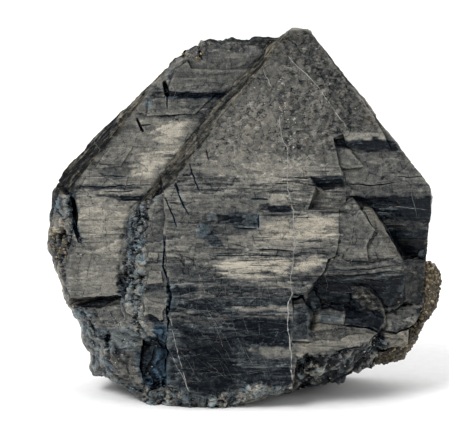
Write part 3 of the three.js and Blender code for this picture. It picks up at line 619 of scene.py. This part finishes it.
def grounds(points, normals):
    """How much each kind of ground covers each point, from 0 to 1."""
    uv, depth, facing = points[:, :2], points[:, 2], normals[:, 2]
    ragged = uv + 0.5 * sway(points / 2.2, (31, 37))
    near = 0.5 * (uv + ragged)
    cover = SimpleNamespace(ragged=ragged)
    front, upper = smooth(-20, -16, depth), smooth(-12, -9, depth)
    turned = smooth(-0.5, -0.1, facing)
    cover.shown = smooth(-24, -17, depth) * turned
    cover.forward = smooth(0.35, 0.75, facing) * front
    cover.broken = 1 - cover.forward
    cover.crumbled = patches(ragged, CRUMBLED, 0.5) * smooth(-24, -18, depth)
    cover.pitted = patch(ragged, PITTED, 2) * cover.forward
    cover.bevel = patch(near, BEVEL, 0.4) * front * turned
    cover.dark_side = patch(near, DARK_SIDE, 0.3) * upper
    cover.pit = patch(near, PIT, 0.3) * smooth(-16, -12, depth)
    cover.plain = cover.forward - cover.crumbled - cover.pitted - cover.bevel - cover.dark_side - cover.pit
    cover.plain = np.clip(cover.plain, 0, 1)
    cover.shell = patch(ragged, SHELL_BREAK, 0.5) * cover.forward * upper
    cover.jagged = patch(ragged, BLACK_CRUST, 0.6)
    cover.weathered = cover.pitted * smooth(-0.5, 0.6, layered(points / 7, 18) + 0.03 * (uv[:, 0] - 4))
    cover.calm = smooth(0.4, 0.9, layered(points / 6, 27) + 0.3) * smooth(14, 10, uv[:, 0])  # smooth crust
    cover.rough = cover.broken * (1 - cover.crumbled) * (1 - 0.8 * cover.bevel) * (1 - cover.pit)
    back = smooth(0.35, 0.75, -facing)
    cover.flanks, cover.rear = cover.rough * (1 - back), cover.rough * back
    cover.streaky = np.full(len(points), 0.3)
    for level, *outline in STREAKED:
        cover.streaky += (level - cover.streaky) * patch(ragged, outline, 2)
    cover.streaky *= (0.3 + 0.7 * smooth(-0.6, 0.5, layered(points / (16, 5, 9), 29))) * cover.plain
    cover.streaky += cover.rough * (0.25 + 0.5 * back)
    return cover


def raised(points, cover, flakes, rims):
    """How far the flakes, crumbs and pits stand out."""
    lift = np.zeros(len(points))
    for ground, kind, height, _ in FLAKED:
        lift += getattr(cover, ground) * height * getattr(flakes, kind)
    for ground, size, seed, height in UNEVEN:
        lift += getattr(cover, ground) * height * layered(points / size, seed)
    lift -= cover.weathered * 0.32 * smooth(0.5, 0.95, layered(points / 1.5, 19))
    crumbs = 0.6 * flakes.tall + (1 - 0.65 * cover.calm) * (0.3 * flakes.lumps + 0.15 * flakes.bits)
    crumbs -= 0.5 * smooth(0.12, 0, rims.tall) + 0.3 * (1 - cover.calm) * smooth(0.14, 0, rims.lumps)
    lift += cover.crumbled * np.clip(0.45 + 0.55 * cover.forward + 0.5 * cover.jagged, 0, 1.1) * crumbs
    lift -= cover.flanks * 0.25 * smooth(0.05, 0, rims.slabs)
    # the shell-shaped break has arcs round its middle
    ring = np.linalg.norm(points[:, :2] - SHELL, axis=1) + 0.9 * layered(points / 3, 57)
    return lift + cover.shell * 0.13 * np.sin(ring * 3.3)


def cut_slots(points, forward, lift):
    """Cuts the slots into the lift. Gives the marks of the slots and of the ground beside them."""
    slot, halo = np.zeros((2, len(points)))
    waver = points[:, :2] + 0.08 * sway(points / 1.1, (51, 53), noise)
    for half_width, depth, *run in SLOTS:
        distance, along = line_distance(waver, run)
        taper = np.sqrt(np.clip(4 * along * (1 - along), 0.04, 1))
        cut = smooth(half_width * taper, half_width * taper * 0.25, distance) * forward
        lift -= depth * cut * taper
        slot = np.maximum(slot, cut)
        halo = np.maximum(halo, smooth(2.2 * half_width * taper + 0.25, 0, distance) * forward)
    return slot, halo


def blend(look, aim, cover):
    """Moves tone and warmth towards an aim where the cover is."""
    look += (aim - look) * cover[:, None]


def coloured(points, cover, flakes, halo):
    """Tone and warmth of each point."""
    look = np.full((len(points), 2), START)
    # the stretches of TONES end in ragged fingers along the striae
    fingers = points[:, :2] + np.column_stack([
        (0.4 + 1.6 * cover.plain) * layered(points / (9, 0.6, 6), 81),
        0.5 * layered(points / (3, 1.5, 3), 83),
    ])
    for stretches, where, soft in ((TONES, fingers, 0.7), (FACETS, cover.ragged, 0.3)):
        for tone, warmth, *outline in stretches:
            blend(look, (tone, warmth), patch(where, outline, soft) * cover.shown)
    look -= np.column_stack([
        0.8 * cover.broken * np.maximum(look[:, 0] - 0.4, 0), 0.5 * cover.broken * np.maximum(look[:, 1], 0),
    ])
    blend(look, (0.25, 0.7), cover.dark_side)
    # each flake gets its own painted sheen, lighter or darker, for the light it would catch
    tone, warmth = look.T
    for ground, kind, _, lighter in FLAKED:
        tone += getattr(cover, ground) * lighter * getattr(flakes, kind)
    crumbs = 0.15 * flakes.tall + (1 - 0.6 * cover.calm) * (0.14 * flakes.lumps + 0.11 * flakes.bits)
    tone += cover.crumbled * (1 + 0.9 * cover.jagged) * crumbs
    tone += cover.pit * 0.2 * layered(points / (1.1, 2.6, 1), 65)
    warmth += cover.crumbled * 0.5 * layered(points / 1.5, 67) - 0.6 * halo
    warmth += cover.rough * 0.4 * noise(points / 11, 49)
    return look


def relief(points, normals):
    """How far each point stands off the CAD face along its normal, in millimetres, and the marks
    that the shading reads."""
    cover = grounds(points, normals)
    made = {kind: flake(points / size, seed, tilt) for kind, (size, seed, tilt) in FLAKES.items()}
    made["slivers"] = flake(points @ np.transpose(UP_SLOPE) / (5, 0.8, 3), 8, 0.4)
    flakes = SimpleNamespace(**{kind: height for kind, (height, _) in made.items()})
    rims = SimpleNamespace(**{kind: rim for kind, (_, rim) in made.items()})
    lift = raised(points, cover, flakes, rims)
    slot, halo = cut_slots(points, cover.forward, lift)
    look = coloured(points, cover, flakes, halo)
    crooked = cover.ragged + 0.45 * sway(points / 0.9, (55, 56), noise)
    for middle, radius, height, tone, warmth in BUMPS:
        reach = np.linalg.norm((crooked - middle) * (1, 0.85), axis=1) / radius
        dome = np.sqrt(np.clip(1 - reach**2, 0, 1)) * cover.forward
        lift += height * dome
        blend(look, (tone, warmth), smooth(0, 0.5, dome))
    return lift, {
        "tone": look[:, 0], "warmth": look[:, 1], "streaky": cover.streaky, "crumb": cover.crumbled,
        "slot": slot, "pitted": cover.pitted, "rust": cover.bevel,
        "sloping": np.maximum(cover.bevel, 0.6 * cover.dark_side), "rough": cover.rough,
    }


def placed(name, data):
    """A new object in the scene."""
    made = bpy.data.objects.new(name, data)
    bpy.context.scene.collection.objects.link(made)
    return made


def mesh_object(name, points, triangles, marks, material):
    mesh = bpy.data.meshes.new(name)
    mesh.from_pydata(to_row(points).tolist(), [], np.asarray(triangles).tolist())
    for mark, values in marks.items():
        layer = mesh.attributes.new(mark, "FLOAT", "POINT")
        layer.data.foreach_set("value", np.asarray(values, np.float32))
    mesh.materials.append(material)
    return placed(name, mesh)


def point_normals(points, triangles, facing):
    """Normal at each point: the mean of the normals that its triangles bring."""
    sums = np.zeros_like(points)
    for k in range(3):
        np.add.at(sums, triangles[:, k], facing)
    return sums / np.maximum(np.linalg.norm(sums, axis=1, keepdims=True), 1e-9)


def convexity(points, triangles):
    """How far each point stands out from its neighbours, in millimetres, slightly smoothed."""
    a, b, c = (points[triangles[:, k]] for k in range(3))
    normals = point_normals(points, triangles, np.cross(b - a, c - a))
    sums = np.zeros_like(points)
    counts, around = np.zeros((2, len(points)))
    ends = [(0, 1), (1, 2), (2, 0), (1, 0), (2, 1), (0, 2)]
    for k, m in ends:
        np.add.at(sums, triangles[:, k], points[triangles[:, m]])
        np.add.at(counts, triangles[:, k], 1)
    stands = np.sum((points - sums / counts[:, None]) * normals, axis=1)
    for k, m in ends:
        np.add.at(around, triangles[:, k], stands[triangles[:, m]])
    return 0.6 * stands + 0.4 * around / counts


# painted highlight on rims and painted shade in hollows, from how far a point stands out
PAINTED_RIM_AND_HOLLOW_TONE, MOST_PAINTED_RIM_AND_HOLLOW_TONE = 2.4, 0.13  # for each millimetre that a point stands out, and at most
NEAR_BASE = 0.01  # millimetres


def build_crystals(material):
    points, triangles, facing = fine_mesh(frame["nodes"]["wolframite_crystals"], 3, slot_points())
    normals = point_normals(points, triangles, facing)
    lift, marks = relief(points, normals)
    # no edge is quite straight, and the worn ones wander most
    uv = points[:, :2]
    drift = 0.22 * sway(points / 4.5, (61, 62, 63)) + 0.07 * sway(points / 0.9, (71, 72, 73), noise)
    drift[:, :2] += 0.75 * patches(uv, WORN_EDGES, 1.5)[:, None] * sway(uv / 3.4, (75, 77))
    rows = to_row(points + normals * lift[:, None] + drift)
    # the base stays flat and on the floor
    on_base = to_row(points)[:, 2] < NEAR_BASE * MM
    rows[:, 2] = np.where(on_base, 0, np.maximum(rows[:, 2], 0))
    moved = to_face(rows)
    # rims that stand out are painted paler and hollows painted darker: painted highlight and painted shade
    rim_highlight_hollow_shade = PAINTED_RIM_AND_HOLLOW_TONE * convexity(moved, triangles)
    marks["tone"] = marks["tone"] + np.clip(rim_highlight_hollow_shade, -MOST_PAINTED_RIM_AND_HOLLOW_TONE, MOST_PAINTED_RIM_AND_HOLLOW_TONE)
    return mesh_object("crystals", moved, triangles, marks, material), moved, triangles


# ---- materials
class Nodes:
    """Short names for the shader nodes of one material or world."""

    def __init__(self, owner):
        owner.use_nodes = True
        self.owner = owner
        self.tree = owner.node_tree

    def feed(self, node, inputs):
        for name, value in inputs.items():
            if isinstance(value, bpy.types.NodeSocket):
                self.tree.links.new(value, node.inputs[name])
            else:
                node.inputs[name].default_value = value

    def add(self, kind, inputs, **settings):
        node = self.tree.nodes.new("ShaderNode" + kind)
        for name, value in settings.items():
            setattr(node, name, value)
        self.feed(node, inputs)
        return node

    def material(self, inputs):
        """The finished material, with these inputs on its shader."""
        self.feed(self.tree.nodes["Principled BSDF"], inputs)
        return self.owner

    def marks(self, *names):
        return [self.add("Attribute", {}, attribute_name=name).outputs["Fac"] for name in names]

    def place(self, scale, turn=0):
        """The point on the specimen in millimetres along (u, into the face, v), times scale. With a
        turn, u and v are first turned by that angle in the face."""
        where = self.add("TexCoord", {}).outputs["Object"]
        where = self.add("Mapping", {"Vector": where, "Rotation": (LEAN, 0, 0)}).outputs[0]
        if turn:
            where = self.add("Mapping", {"Vector": where, "Rotation": (0, turn, 0)}).outputs[0]
        return self.add("Mapping", {"Vector": where, "Scale": [k / MM for k in scale]}).outputs[0]

    def noise(self, scale, detail=4, roughness=0.6, distortion=0, turn=0):
        return self.add("TexNoise", {
            "Vector": self.place(scale, turn), "Scale": 1, "Detail": detail, "Roughness": roughness,
            "Distortion": distortion,
        }).outputs["Fac"]

    def walls(self, scale, bend=0):
        """Distance to the walls of a cell pattern, bent by some fraction of a cell."""
        where = self.place(scale)
        if bend:
            wave = self.add("TexNoise", {"Vector": where, "Scale": 1.2, "Detail": 3}).outputs["Color"]
            wave = self.add("VectorMath", {0: wave, 1: (0.5, 0.5, 0.5)}, operation="SUBTRACT").outputs[0]
            wave = self.add("VectorMath", {0: wave, "Scale": bend}, operation="SCALE").outputs[0]
            where = self.add("VectorMath", {0: where, 1: wave}, operation="ADD").outputs[0]
        cells = self.add("TexVoronoi", {"Vector": where, "Scale": 1}, feature="DISTANCE_TO_EDGE")
        return cells.outputs["Distance"]

    def math(self, operation, *values):
        return self.add("Math", dict(enumerate(values)), operation=operation).outputs[0]

    def sum(self, a, b, c=1):
        """a + b * c."""
        return self.math("MULTIPLY_ADD", b, c, a)

    def times(self, a, b):
        return self.math("MULTIPLY", a, b)

    def centred(self, value):
        return self.math("SUBTRACT", value, 0.5)

    def span(self, value, low, high, to_low=0, to_high=1):
        inputs = {"Value": value, "From Min": low, "From Max": high, "To Min": to_low, "To Max": to_high}
        return self.add("MapRange", inputs, interpolation_type="SMOOTHSTEP").outputs["Result"]

    def ramp(self, value, stops):
        node = self.add("ValToRGB", {"Fac": value})
        elements = node.color_ramp.elements
        while len(elements) < len(stops):
            elements.new(0.5)
        for element, (place, colour) in zip(elements, stops):
            element.position = place
            element.color = (*colour, 1)
        return node.outputs["Color"]

    def mix(self, amount, first, second, blend="MIX"):
        inputs = {0: amount, 6: first, 7: (*second, 1)}
        return self.add("Mix", inputs, data_type="RGBA", blend_type=blend).outputs[2]

    def bump(self, height, distance, strength, under=None):
        inputs = {"Height": height, "Distance": distance * MM, "Strength": strength}
        if under is not None:
            inputs["Normal"] = under
        return self.add("Bump", inputs).outputs["Normal"]


def new_material(name):
    return Nodes(bpy.data.materials.new(name))


SLOPE_TURN = math.radians(48)  # the bevels run up at this angle
# the pale end of the ramp is the colour of the painted sheen
WOLFRAMITE_RAMP = [
    (0, (0.001, 0.0022, 0.004)), (0.12, (0.005, 0.0075, 0.01)), (0.3, (0.041, 0.043, 0.043)),
    (0.45, (0.088, 0.088, 0.082)), (0.65, (0.173, 0.167, 0.147)), (0.85, (0.281, 0.266, 0.225)),
    (1, (0.39, 0.363, 0.306)),
]


def wolframite_material():
    n = new_material("wolframite")
    tone, warmth, streaky, crumb, pitted, sloping, rough, rust, slot = n.marks(
        "tone", "warmth", "streaky", "crumb", "pitted", "sloping", "rough", "rust", "slot"
    )
    streaks = n.noise((0.09, 0.35, 1.7), 5, 0.7, 0.2)
    lines = n.noise((0.07, 0.3, 3.2), 3, 0.6, 0.15)
    slope_streaks = n.noise((0.16, 0.5, 2.2), 5, 0.7, 0.2, SLOPE_TURN)
    mottle = n.noise((0.7, 0.7, 0.9), 5, 0.7)
    spots = n.noise((3.4, 3.4, 3.4), 3, 0.75)
    cloudy = n.centred(n.noise((0.16, 0.16, 0.2), 3, 0.55))
    busy = n.span(n.noise((0.05, 0.08, 0.22), 3), 0.36, 0.62, 0.3, 1.35)

    # dark lines show on pale ground and pale lines on dark ground
    dark_lines = n.sum(n.span(streaks, 0.47, 0.37, 0, 0.8), n.span(lines, 0.41, 0.35), 0.75)
    pale_lines = n.sum(n.span(streaks, 0.55, 0.66, 0, 0.6), n.span(lines, 0.6, 0.68), 0.8)
    lined = n.times(dark_lines, n.span(tone, 0, 0.8, -0.05, -0.48))
    lined = n.sum(lined, n.times(pale_lines, n.span(tone, 0, 0.9, 0.34, 0.14)))

    hair = n.math("ABSOLUTE", n.centred(n.noise((0.09, 0.09, 0.07), 3, 0.45, 0.8)))
    crack = n.walls((0.22, 0.25, 0.13))
    # painted shadow in the gaps between the grains of the pitted ground
    gap = n.times(n.span(n.walls((0.3, 0.3, 0.34), 1.1), 0.03, 0.008), n.span(mottle, 0.56, 0.46))
    # painted shade in the crevices between crumbs
    crumb_crevice_shade = n.span(n.walls((0.8, 0.8, 0.6), 0.8), 0.09, 0.02)
    lightness = tone
    for pattern, weight in (  # the tone, and what makes the surface lighter or darker than it
        (n.times(lined, busy), n.sum(0.1, streaky)),  # striae
        (n.centred(mottle), n.sum(n.sum(0.7, pitted, -0.3), rough, -0.45)),
        (n.centred(spots), n.sum(0.7, crumb, 0.2)),
        (n.times(cloudy, pitted), 0.2),
        (n.times(sloping, n.centred(slope_streaks)), 2.2),
        (n.times(n.span(hair, 0.005, 0.002), n.span(mottle, 0.4, 0.6)), 0.15),  # pale hairlines
        (n.times(n.span(crack, 0.02, 0.006), n.span(mottle, 0.6, 0.4)), -0.25),  # dark cracks
        # painted shadow in the gaps between the grains of the pitted ground
        (n.times(gap, pitted), -0.42),  # between the grains of the pitted ground
        (n.times(n.span(spots, 0.43, 0.36), n.span(tone, 0.45, 0.85)), -0.22),  # dust
        # painted shade in the crevices between crumbs
        (n.times(crumb_crevice_shade, crumb), -0.13),  # between crumbs
        # slots painted darker: their own dark colour and painted shade in their recess
        (slot, -0.6),
    ):
        lightness = n.sum(lightness, pattern, weight)

    colour = n.ramp(lightness, WOLFRAMITE_RAMP)
    colour = n.mix(n.times(n.span(warmth, -0.1, -1), 0.75), colour, (0.55, 0.94, 1.3), "MULTIPLY")
    colour = n.mix(n.times(n.span(warmth, 0.2, 1), 0.8), colour, (1.1, 0.93, 0.64), "MULTIPLY")
    colour = n.mix(n.span(warmth, -1, -1.3), colour, (0.72, 0.92, 1.12), "MULTIPLY")
    rusty = n.sum(n.sum(n.sum(n.times(crumb, 0.3), rust, 0.3), pitted, 0.3), rough, 0.35)
    rusty = n.times(rusty, n.span(warmth, -0.8, -0.2))
    rusty = n.times(n.span(n.noise((0.55, 0.55, 0.7), 5, 0.7), 0.56, 0.68), rusty)
    colour = n.mix(rusty, colour, (0.14, 0.095, 0.045))
    # painted glints: bluish-white specks, most on the crumbs
    colour = n.mix(n.times(n.span(spots, 0.63, 0.69), n.sum(0.03, crumb, 0.6)), colour, (0.3, 0.36, 0.42))

    shine = n.sum(n.sum(n.span(mottle, 0.3, 0.7, 0.32, 0.2), tone, 0.3), sloping, 0.6)
    grit = n.times(n.noise((2.6, 2.6, 3.2), 4, 0.7), n.sum(1, crumb, 1.2))
    return n.material({
        "Base Color": colour, "Metallic": 0.25, "Specular IOR Level": 0.17,
        "Roughness": n.sum(shine, crumb, -0.12),
        "Normal": n.bump(grit, 0.07, 0.6, n.bump(n.noise((0.35, 1, 4.5), 4, 0.65), 0.06, 0.8)),
    })


def vein_material():
    n = new_material("vein")
    [shade] = n.marks("shade")
    colour = n.ramp(n.sum(shade, n.centred(n.noise((1.4, 1.4, 1.4), 4, 0.7)), 1.4), [
        (0, (0.03, 0.035, 0.04)), (0.4, (0.15, 0.155, 0.155)), (0.75, (0.34, 0.34, 0.32)),
        (1, (0.5, 0.48, 0.43)),
    ])
    stain = n.span(n.noise((0.35, 0.35, 0.5), 3), 0.6, 0.66, 0, 0.7)
    return n.material({"Base Color": n.mix(stain, colour, (0.24, 0.14, 0.06)), "Roughness": 0.5})


def host_rock_material():
    n = new_material("host rock")
    [shade] = n.marks("shade")
    fine = n.noise((1.6, 1.6, 1.6), 4, 0.65)
    colour = n.ramp(n.sum(shade, n.centred(fine), 0.7), [
        (0, (0.01, 0.008, 0.005)), (0.3, (0.05, 0.038, 0.02)), (0.6, (0.135, 0.103, 0.056)),
        (0.85, (0.25, 0.2, 0.12)), (1, (0.4, 0.35, 0.25)),
    ])
    return n.material({
        "Base Color": colour, "Roughness": n.span(fine, 0.3, 0.7, 0.5, 0.75),
        "Normal": n.bump(n.noise((4, 4, 4), 3), 0.08, 0.6),
    })


def paper_material():
    n = new_material("paper")
    grain = n.noise((0.4, 0.4, 0.4), 3, 0.5)
    colour = n.ramp(grain, [(0.3, (0.86, 0.86, 0.86)), (0.7, (0.9, 0.9, 0.9))])
    return n.material({"Base Color": colour, "Roughness": 0.9})


# ---- host rock
GRAIN = (0.28, 0.6)  # smallest and largest radius of a grain
GRAIN_COUNT = 2600  # thrown; those inside the crystals are dropped
GRAIN_FLATS = 7  # flats that cut each grain
HOST_CUTS = 5  # new points on each edge of the CAD triangles


def build_host_rock(material):
    shape = welded(frame["nodes"]["host_rock"])
    bmesh.ops.triangulate(shape, faces=shape.faces)
    bmesh.ops.subdivide_edges(shape, edges=shape.edges, cuts=HOST_CUTS, use_grid_fill=True)
    bmesh.ops.triangulate(shape, faces=shape.faces)
    shape.normal_update()
    points = to_face([v.co for v in shape.verts])
    normals = np.array([v.normal for v in shape.verts]) @ AXES.T
    triangles = corner_numbers(shape)
    shape.free()
    lumps, rim = flake(points / 1.3, 91, 0.8)
    lift = 0.2 * lumps + 0.5 * layered(points / 4, 93) - 0.15 * smooth(0.2, 0, rim)
    moved = points + normals * lift[:, None]
    marks = {"shade": 0.2 + 0.15 * lumps - 0.2 * smooth(0.15, 0, rim)}
    return mesh_object("host_rock_body", moved, triangles, marks, material), moved, triangles


def corner_numbers(shape):
    return np.array([[v.index for v in face.verts] for face in shape.faces])


def scatter_grains(name, centres, radii, shades, material, seed):
    """Angular grains, each a ball cut by a few flats."""
    random = np.random.default_rng(seed)
    shape = bmesh.new()
    bmesh.ops.create_icosphere(shape, subdivisions=2, radius=1)
    ball, faces = np.array([v.co for v in shape.verts]), corner_numbers(shape)
    shape.free()
    corners, triangles = [], []
    for centre, radius in zip(centres, radii):
        grain = ball.copy()
        for _ in range(GRAIN_FLATS):
            flat = random.normal(size=3)
            flat /= np.linalg.norm(flat)
            over = np.maximum(grain @ flat - random.uniform(0.5, 0.8), 0)
            grain -= over[:, None] * flat
        stretch = random.uniform(0.75, 1.25, 3)
        triangles.append(faces + len(corners) * len(ball))
        corners.append(centre + grain * radius * stretch)
    marks = {"shade": np.repeat(shades, len(ball))}
    return mesh_object(name, np.vstack(corners), np.vstack(triangles), marks, material)


def surface_samples(points, triangles, count, random):
    """Random places spread evenly over a surface."""
    a, b, c = (points[triangles[:, k]] for k in range(3))
    area = np.linalg.norm(np.cross(b - a, c - a), axis=1)
    pick = random.choice(len(triangles), count, p=area / area.sum())
    s, t = random.random((2, count))
    turned = s + t > 1
    s, t = np.where(turned, 1 - s, s), np.where(turned, 1 - t, t)
    return a[pick] + s[:, None] * (b - a)[pick] + t[:, None] * (c - a)[pick]


def build_host_grains(points, triangles, crystal_surface, material):
    random = np.random.default_rng(17)
    centres = []
    for place in surface_samples(points, triangles, GRAIN_COUNT, random):
        nearest, normal, _, _ = crystal_surface.find_nearest(place)
        if (Vector(place) - nearest).dot(normal) > 0:
            centres.append(place)
    radii = random.uniform(*GRAIN, len(centres))
    lower = smooth(27, 20, np.array(centres)[:, 1])  # the lower part is darker
    shades = np.clip(random.normal(0.45, 0.25, len(centres)) - 0.2 * lower, 0.02, 1)
    return scatter_grains("host_rock_grains", centres, radii, shades, material, 19)


# ---- veins, scratches, bright specks and ochre crumbs
SCRATCHES = [  # how many, box (u0, v0, u1, v1), direction in degrees and its spread, longest
    (26, (-17, 5, 9, 26), 118, 18, 16),
    (10, (-17, 26, 10, 34), 105, 30, 9),
    (22, (-38, 54, -15, 73), 80, 45, 7),
    (12, (-38, 30, -31, 54), 70, 50, 6),
    (12, (26, 34, 45, 52), 60, 40, 7),
    (10, (12, 14, 26, 24), 40, 30, 7),
    (12, (-22, 74, -4, 88), 60, 50, 6),
    (34, (-18, 5, 8, 30), 2, 3, 16),
    (16, (21, 32.6, 36, 38), 5, 2, 16),
    (12, (18, 24, 36, 33), 150, 40, 8),
    (8, (27, 44, 42, 52), 0, 3, 8),
]
SCRATCH_BENDS = 4  # a scratch is this many straight steps
# pale grains as painted glints, for the sparkle on the crust and along the vein
GLINTS = [  # how many, box, largest radius
    (26, (8.6, 72, 11, 84), 0.27),
    (24, (10.6, 64, 12.8, 74), 0.27),
    (14, (-4, 68, 6, 90), 0.2),
    (26, (30, 11, 36, 18), 0.26),
    (30, (14, 6, 32, 14), 0.24),
    (6, (33, 23, 41, 29), 0.26),
    (10, (-24.6, 5, -19.6, 18), 0.25),
    (20, (-45, 26, -41, 44), 0.22),
    (190, (-43, 4, -27, 27), 0.17),
    (40, (-19, 1, 10, 5), 0.18),
    (110, (-31, 20, -24.6, 50), 0.18),
]
OCHRE = [  # how many, box, largest radius
    (20, (-15.8, 87.6, -10, 91), 0.4),
    (36, (-49, 33, -44.6, 48), 0.42),
    (40, (5, 72, 30, 93), 0.22),
    (16, (-10, 90, 8, 93), 0.22),
    (34, (34, 12, 42, 17), 0.36),
    (14, (14, 6, 22, 12), 0.35),
    (16, (-46, 14, -41, 30), 0.35),
]
SEAM_RIDGE, SEAM_EDGE = 0.05, -0.02  # how far a seam's middle and its sides stand out
SEAM_STEP = 0.2  # millimetres between its cross sections
SEAM_SWAY, SEAM_WAVE = 0.13, 1.1  # how far it sways, and over what length
SEAM_TAPER = 0.8  # the length over which its ends grow thin
THINNEST_SEAM = 0.03  # half width
LARGEST_JUMP = 0.8  # a seam stops where the surface falls away by more than this
FARTHEST_BACK = -22  # specks lie no farther back than this
CLEAR_IN_FRONT = 60  # rays start here, in front of the whole specimen


def surface_at(tree, u, v):
    """The foremost point of the surface at a place on the face, or None."""
    return tree.ray_cast((u, v, CLEAR_IN_FRONT), (0, 0, -1))[0]


def ribbon(run, half_width, unbroken, tree, random):
    """Corners and triangles of a thin seam that lies on the surface."""
    run = np.array(run, float)
    lengths = np.concatenate([[0], np.cumsum(np.linalg.norm(np.diff(run, axis=0), axis=1))])
    along = np.arange(0, lengths[-1], SEAM_STEP)
    middle = np.column_stack([np.interp(along, lengths, run[:, k]) for k in range(2)])
    shift = random.uniform(0, 900)
    waver = np.column_stack([along / SEAM_WAVE + shift, along * 0])
    middle += SEAM_SWAY * sway(waver, (5, 6))
    heading = np.gradient(middle, axis=0)
    across = np.column_stack([-heading[:, 1], heading[:, 0]])
    across /= np.linalg.norm(across, axis=1, keepdims=True)
    width = half_width * (0.85 + 0.5 * layered(waver * 1.3, 7))
    present = layered(waver * 0.8, 9) < 1.8 * unbroken - 0.8
    fade = np.clip(np.minimum(along, lengths[-1] - along) / SEAM_TAPER, 0.15, 1)
    corners, triangles = [], []
    last = None
    for k in range(len(along)):
        row = []
        for side, rise in ((-1, SEAM_EDGE), (0, SEAM_RIDGE), (1, SEAM_EDGE)):
            u, v = middle[k] + across[k] * side * max(width[k], THINNEST_SEAM) * fade[k]
            hit = surface_at(tree, u, v)
            row.append(None if hit is None else (u, v, hit.z + rise))
        if None in row or not present[k]:
            last = None
            continue
        here = len(corners)
        corners.extend(row)
        if last is not None and abs(corners[last + 1][2] - row[1][2]) < LARGEST_JUMP:
            for a, b in ((0, 1), (1, 2)):
                triangles.append((last + a, here + a, here + b))
                triangles.append((last + a, here + b, last + b))
        last = here
    return corners, triangles


def scratches(random):
    """Run, half width, unbrokenness and shade of each scratch."""
    for count, (u0, v0, u1, v1), heading, spread, longest in SCRATCHES:
        for _ in range(count):
            run = [np.array([random.uniform(u0, u1), random.uniform(v0, v1)])]
            angle = math.radians(random.normal(heading, spread))
            step = random.uniform(0.2, 1) * longest / SCRATCH_BENDS
            for _ in range(SCRATCH_BENDS):
                run.append(run[-1] + step * np.array([math.cos(angle), math.sin(angle)]))
                angle += random.normal(0, 0.12)
            yield run, random.uniform(0.02, 0.045), 0.85, random.uniform(0.1, 0.45)


def build_seams(tree, material):
    random = np.random.default_rng(29)
    veins = [(run, half_width, unbroken, shade) for half_width, unbroken, shade, *run in VEINS]
    corners, faces, shades = [], [], []
    for run, half_width, unbroken, shade in veins + list(scratches(random)):
        more, sides = ribbon(run, half_width, unbroken, tree, random)
        faces.extend(tuple(len(corners) + k for k in side) for side in sides)
        corners.extend(more)
        shades.extend([shade] * len(more))
    return mesh_object("veins", corners, faces, {"shade": shades}, material)


def build_specks(name, boxes, palest, tree, random, material, seed):
    """Specks thrown at random into boxes in the face, where the surface is clear of the floor."""
    places, radii = [], []
    for count, (u0, v0, u1, v1), largest in boxes:
        for _ in range(count):
            hit = surface_at(tree, random.uniform(u0, u1), random.uniform(v0, v1))
            if hit is not None and hit.z > FARTHEST_BACK and to_row([hit])[0, 2] > largest * MM:
                places.append(tuple(hit))
                radii.append(largest * random.uniform(0.3, 1))
    shades = random.uniform(0.3, palest, len(radii))
    return scatter_grains(name, np.array(places), radii, shades, material, seed)


rock, seam = host_rock_material(), vein_material()
crystals, points, triangles = build_crystals(wolframite_material())
surface = BVHTree.FromPolygons(points.tolist(), triangles.tolist())
veins = build_seams(surface, seam)
random = np.random.default_rng(37)
# pale grains as painted glints
glints = build_specks("glints", GLINTS, 0.8, surface, random, seam, 39)
crumbs = build_specks("ochre_crumbs", OCHRE, 0.9, surface, random, rock, 41)
rock_body, points, triangles = build_host_rock(rock)
rock_grains = build_host_grains(points, triangles, surface, rock)
for pieces, node, slot in (
    ((crystals, veins, glints, crumbs), "wolframite_crystals", "wolframite"),
    ((rock_body, rock_grains), "host_rock", "granular_rock"),
):
    for piece in pieces:
        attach(piece, "root")
        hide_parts(node)

# ---- floor, light and camera
FLOOR_SIZE = 60  # metres
SKY_TOWARDS = (0, -math.cos(math.radians(15)), math.sin(math.radians(15)))  # the middle of its dark patch
SKY_PATCH = (0.95, 0.45)  # cosines of the angles from there at which the sky is darkest and palest
VIEW_CENTRE = (-5, 47.9, 0)  # what the middle of the picture shows, in face coordinates
VIEW_WIDTH = 112.25  # millimetres across the picture at the broad face
DISTANCE = 1500  # millimetres from the camera to the broad face
SENSOR = 36

bpy.ops.mesh.primitive_plane_add(size=FLOOR_SIZE, location=(0, 0, 0))
floor = bpy.context.object
floor.name = "floor"
floor.data.materials.append(paper_material())


def studio_sky():
    """Pale all round, with a dark patch in front for the dark faces to reflect."""
    n = Nodes(bpy.data.worlds.new("studio"))
    inputs = {0: n.add("TexCoord", {}).outputs["Generated"], 1: SKY_TOWARDS}
    ahead = n.add("VectorMath", inputs, operation="DOT_PRODUCT").outputs["Value"]
    n.feed(n.tree.nodes["Background"], {"Color": n.span(ahead, *SKY_PATCH, 0.1)})
    return n.owner


def softbox(name, place, aim, size, power):
    light = bpy.data.lights.new(name, "AREA")
    light.size = size
    light.energy = power
    lamp = placed(name, light)
    lamp.location = place
    lamp.rotation_euler = (Vector(aim) - Vector(place)).to_track_quat("-Z", "Y").to_euler()


bpy.context.scene.view_settings.view_transform = "Standard"
bpy.context.scene.world = studio_sky()
softbox("key", (-0.6, -0.75, 1.1), (0, 0.1, 0.04), 0.7, 16)
softbox("top", (0.2, 0.4, 1.5), (0, 0.2, 0), 1.6, 6)
softbox("fill", (1, -0.8, 0.5), (0, 0, 0.05), 0.7, 3)

camera = placed("camera", bpy.data.cameras.new("camera"))
bpy.context.scene.camera = camera
camera.data.sensor_width = SENSOR
camera.data.lens = SENSOR * DISTANCE / VIEW_WIDTH
camera.data.clip_start, camera.data.clip_end = 0.1, 20
eye = to_row(np.array(VIEW_CENTRE) + (0, 0, DISTANCE))
camera.matrix_world = Matrix.Translation(eye) @ Matrix(AXES.T.tolist()).to_4x4()
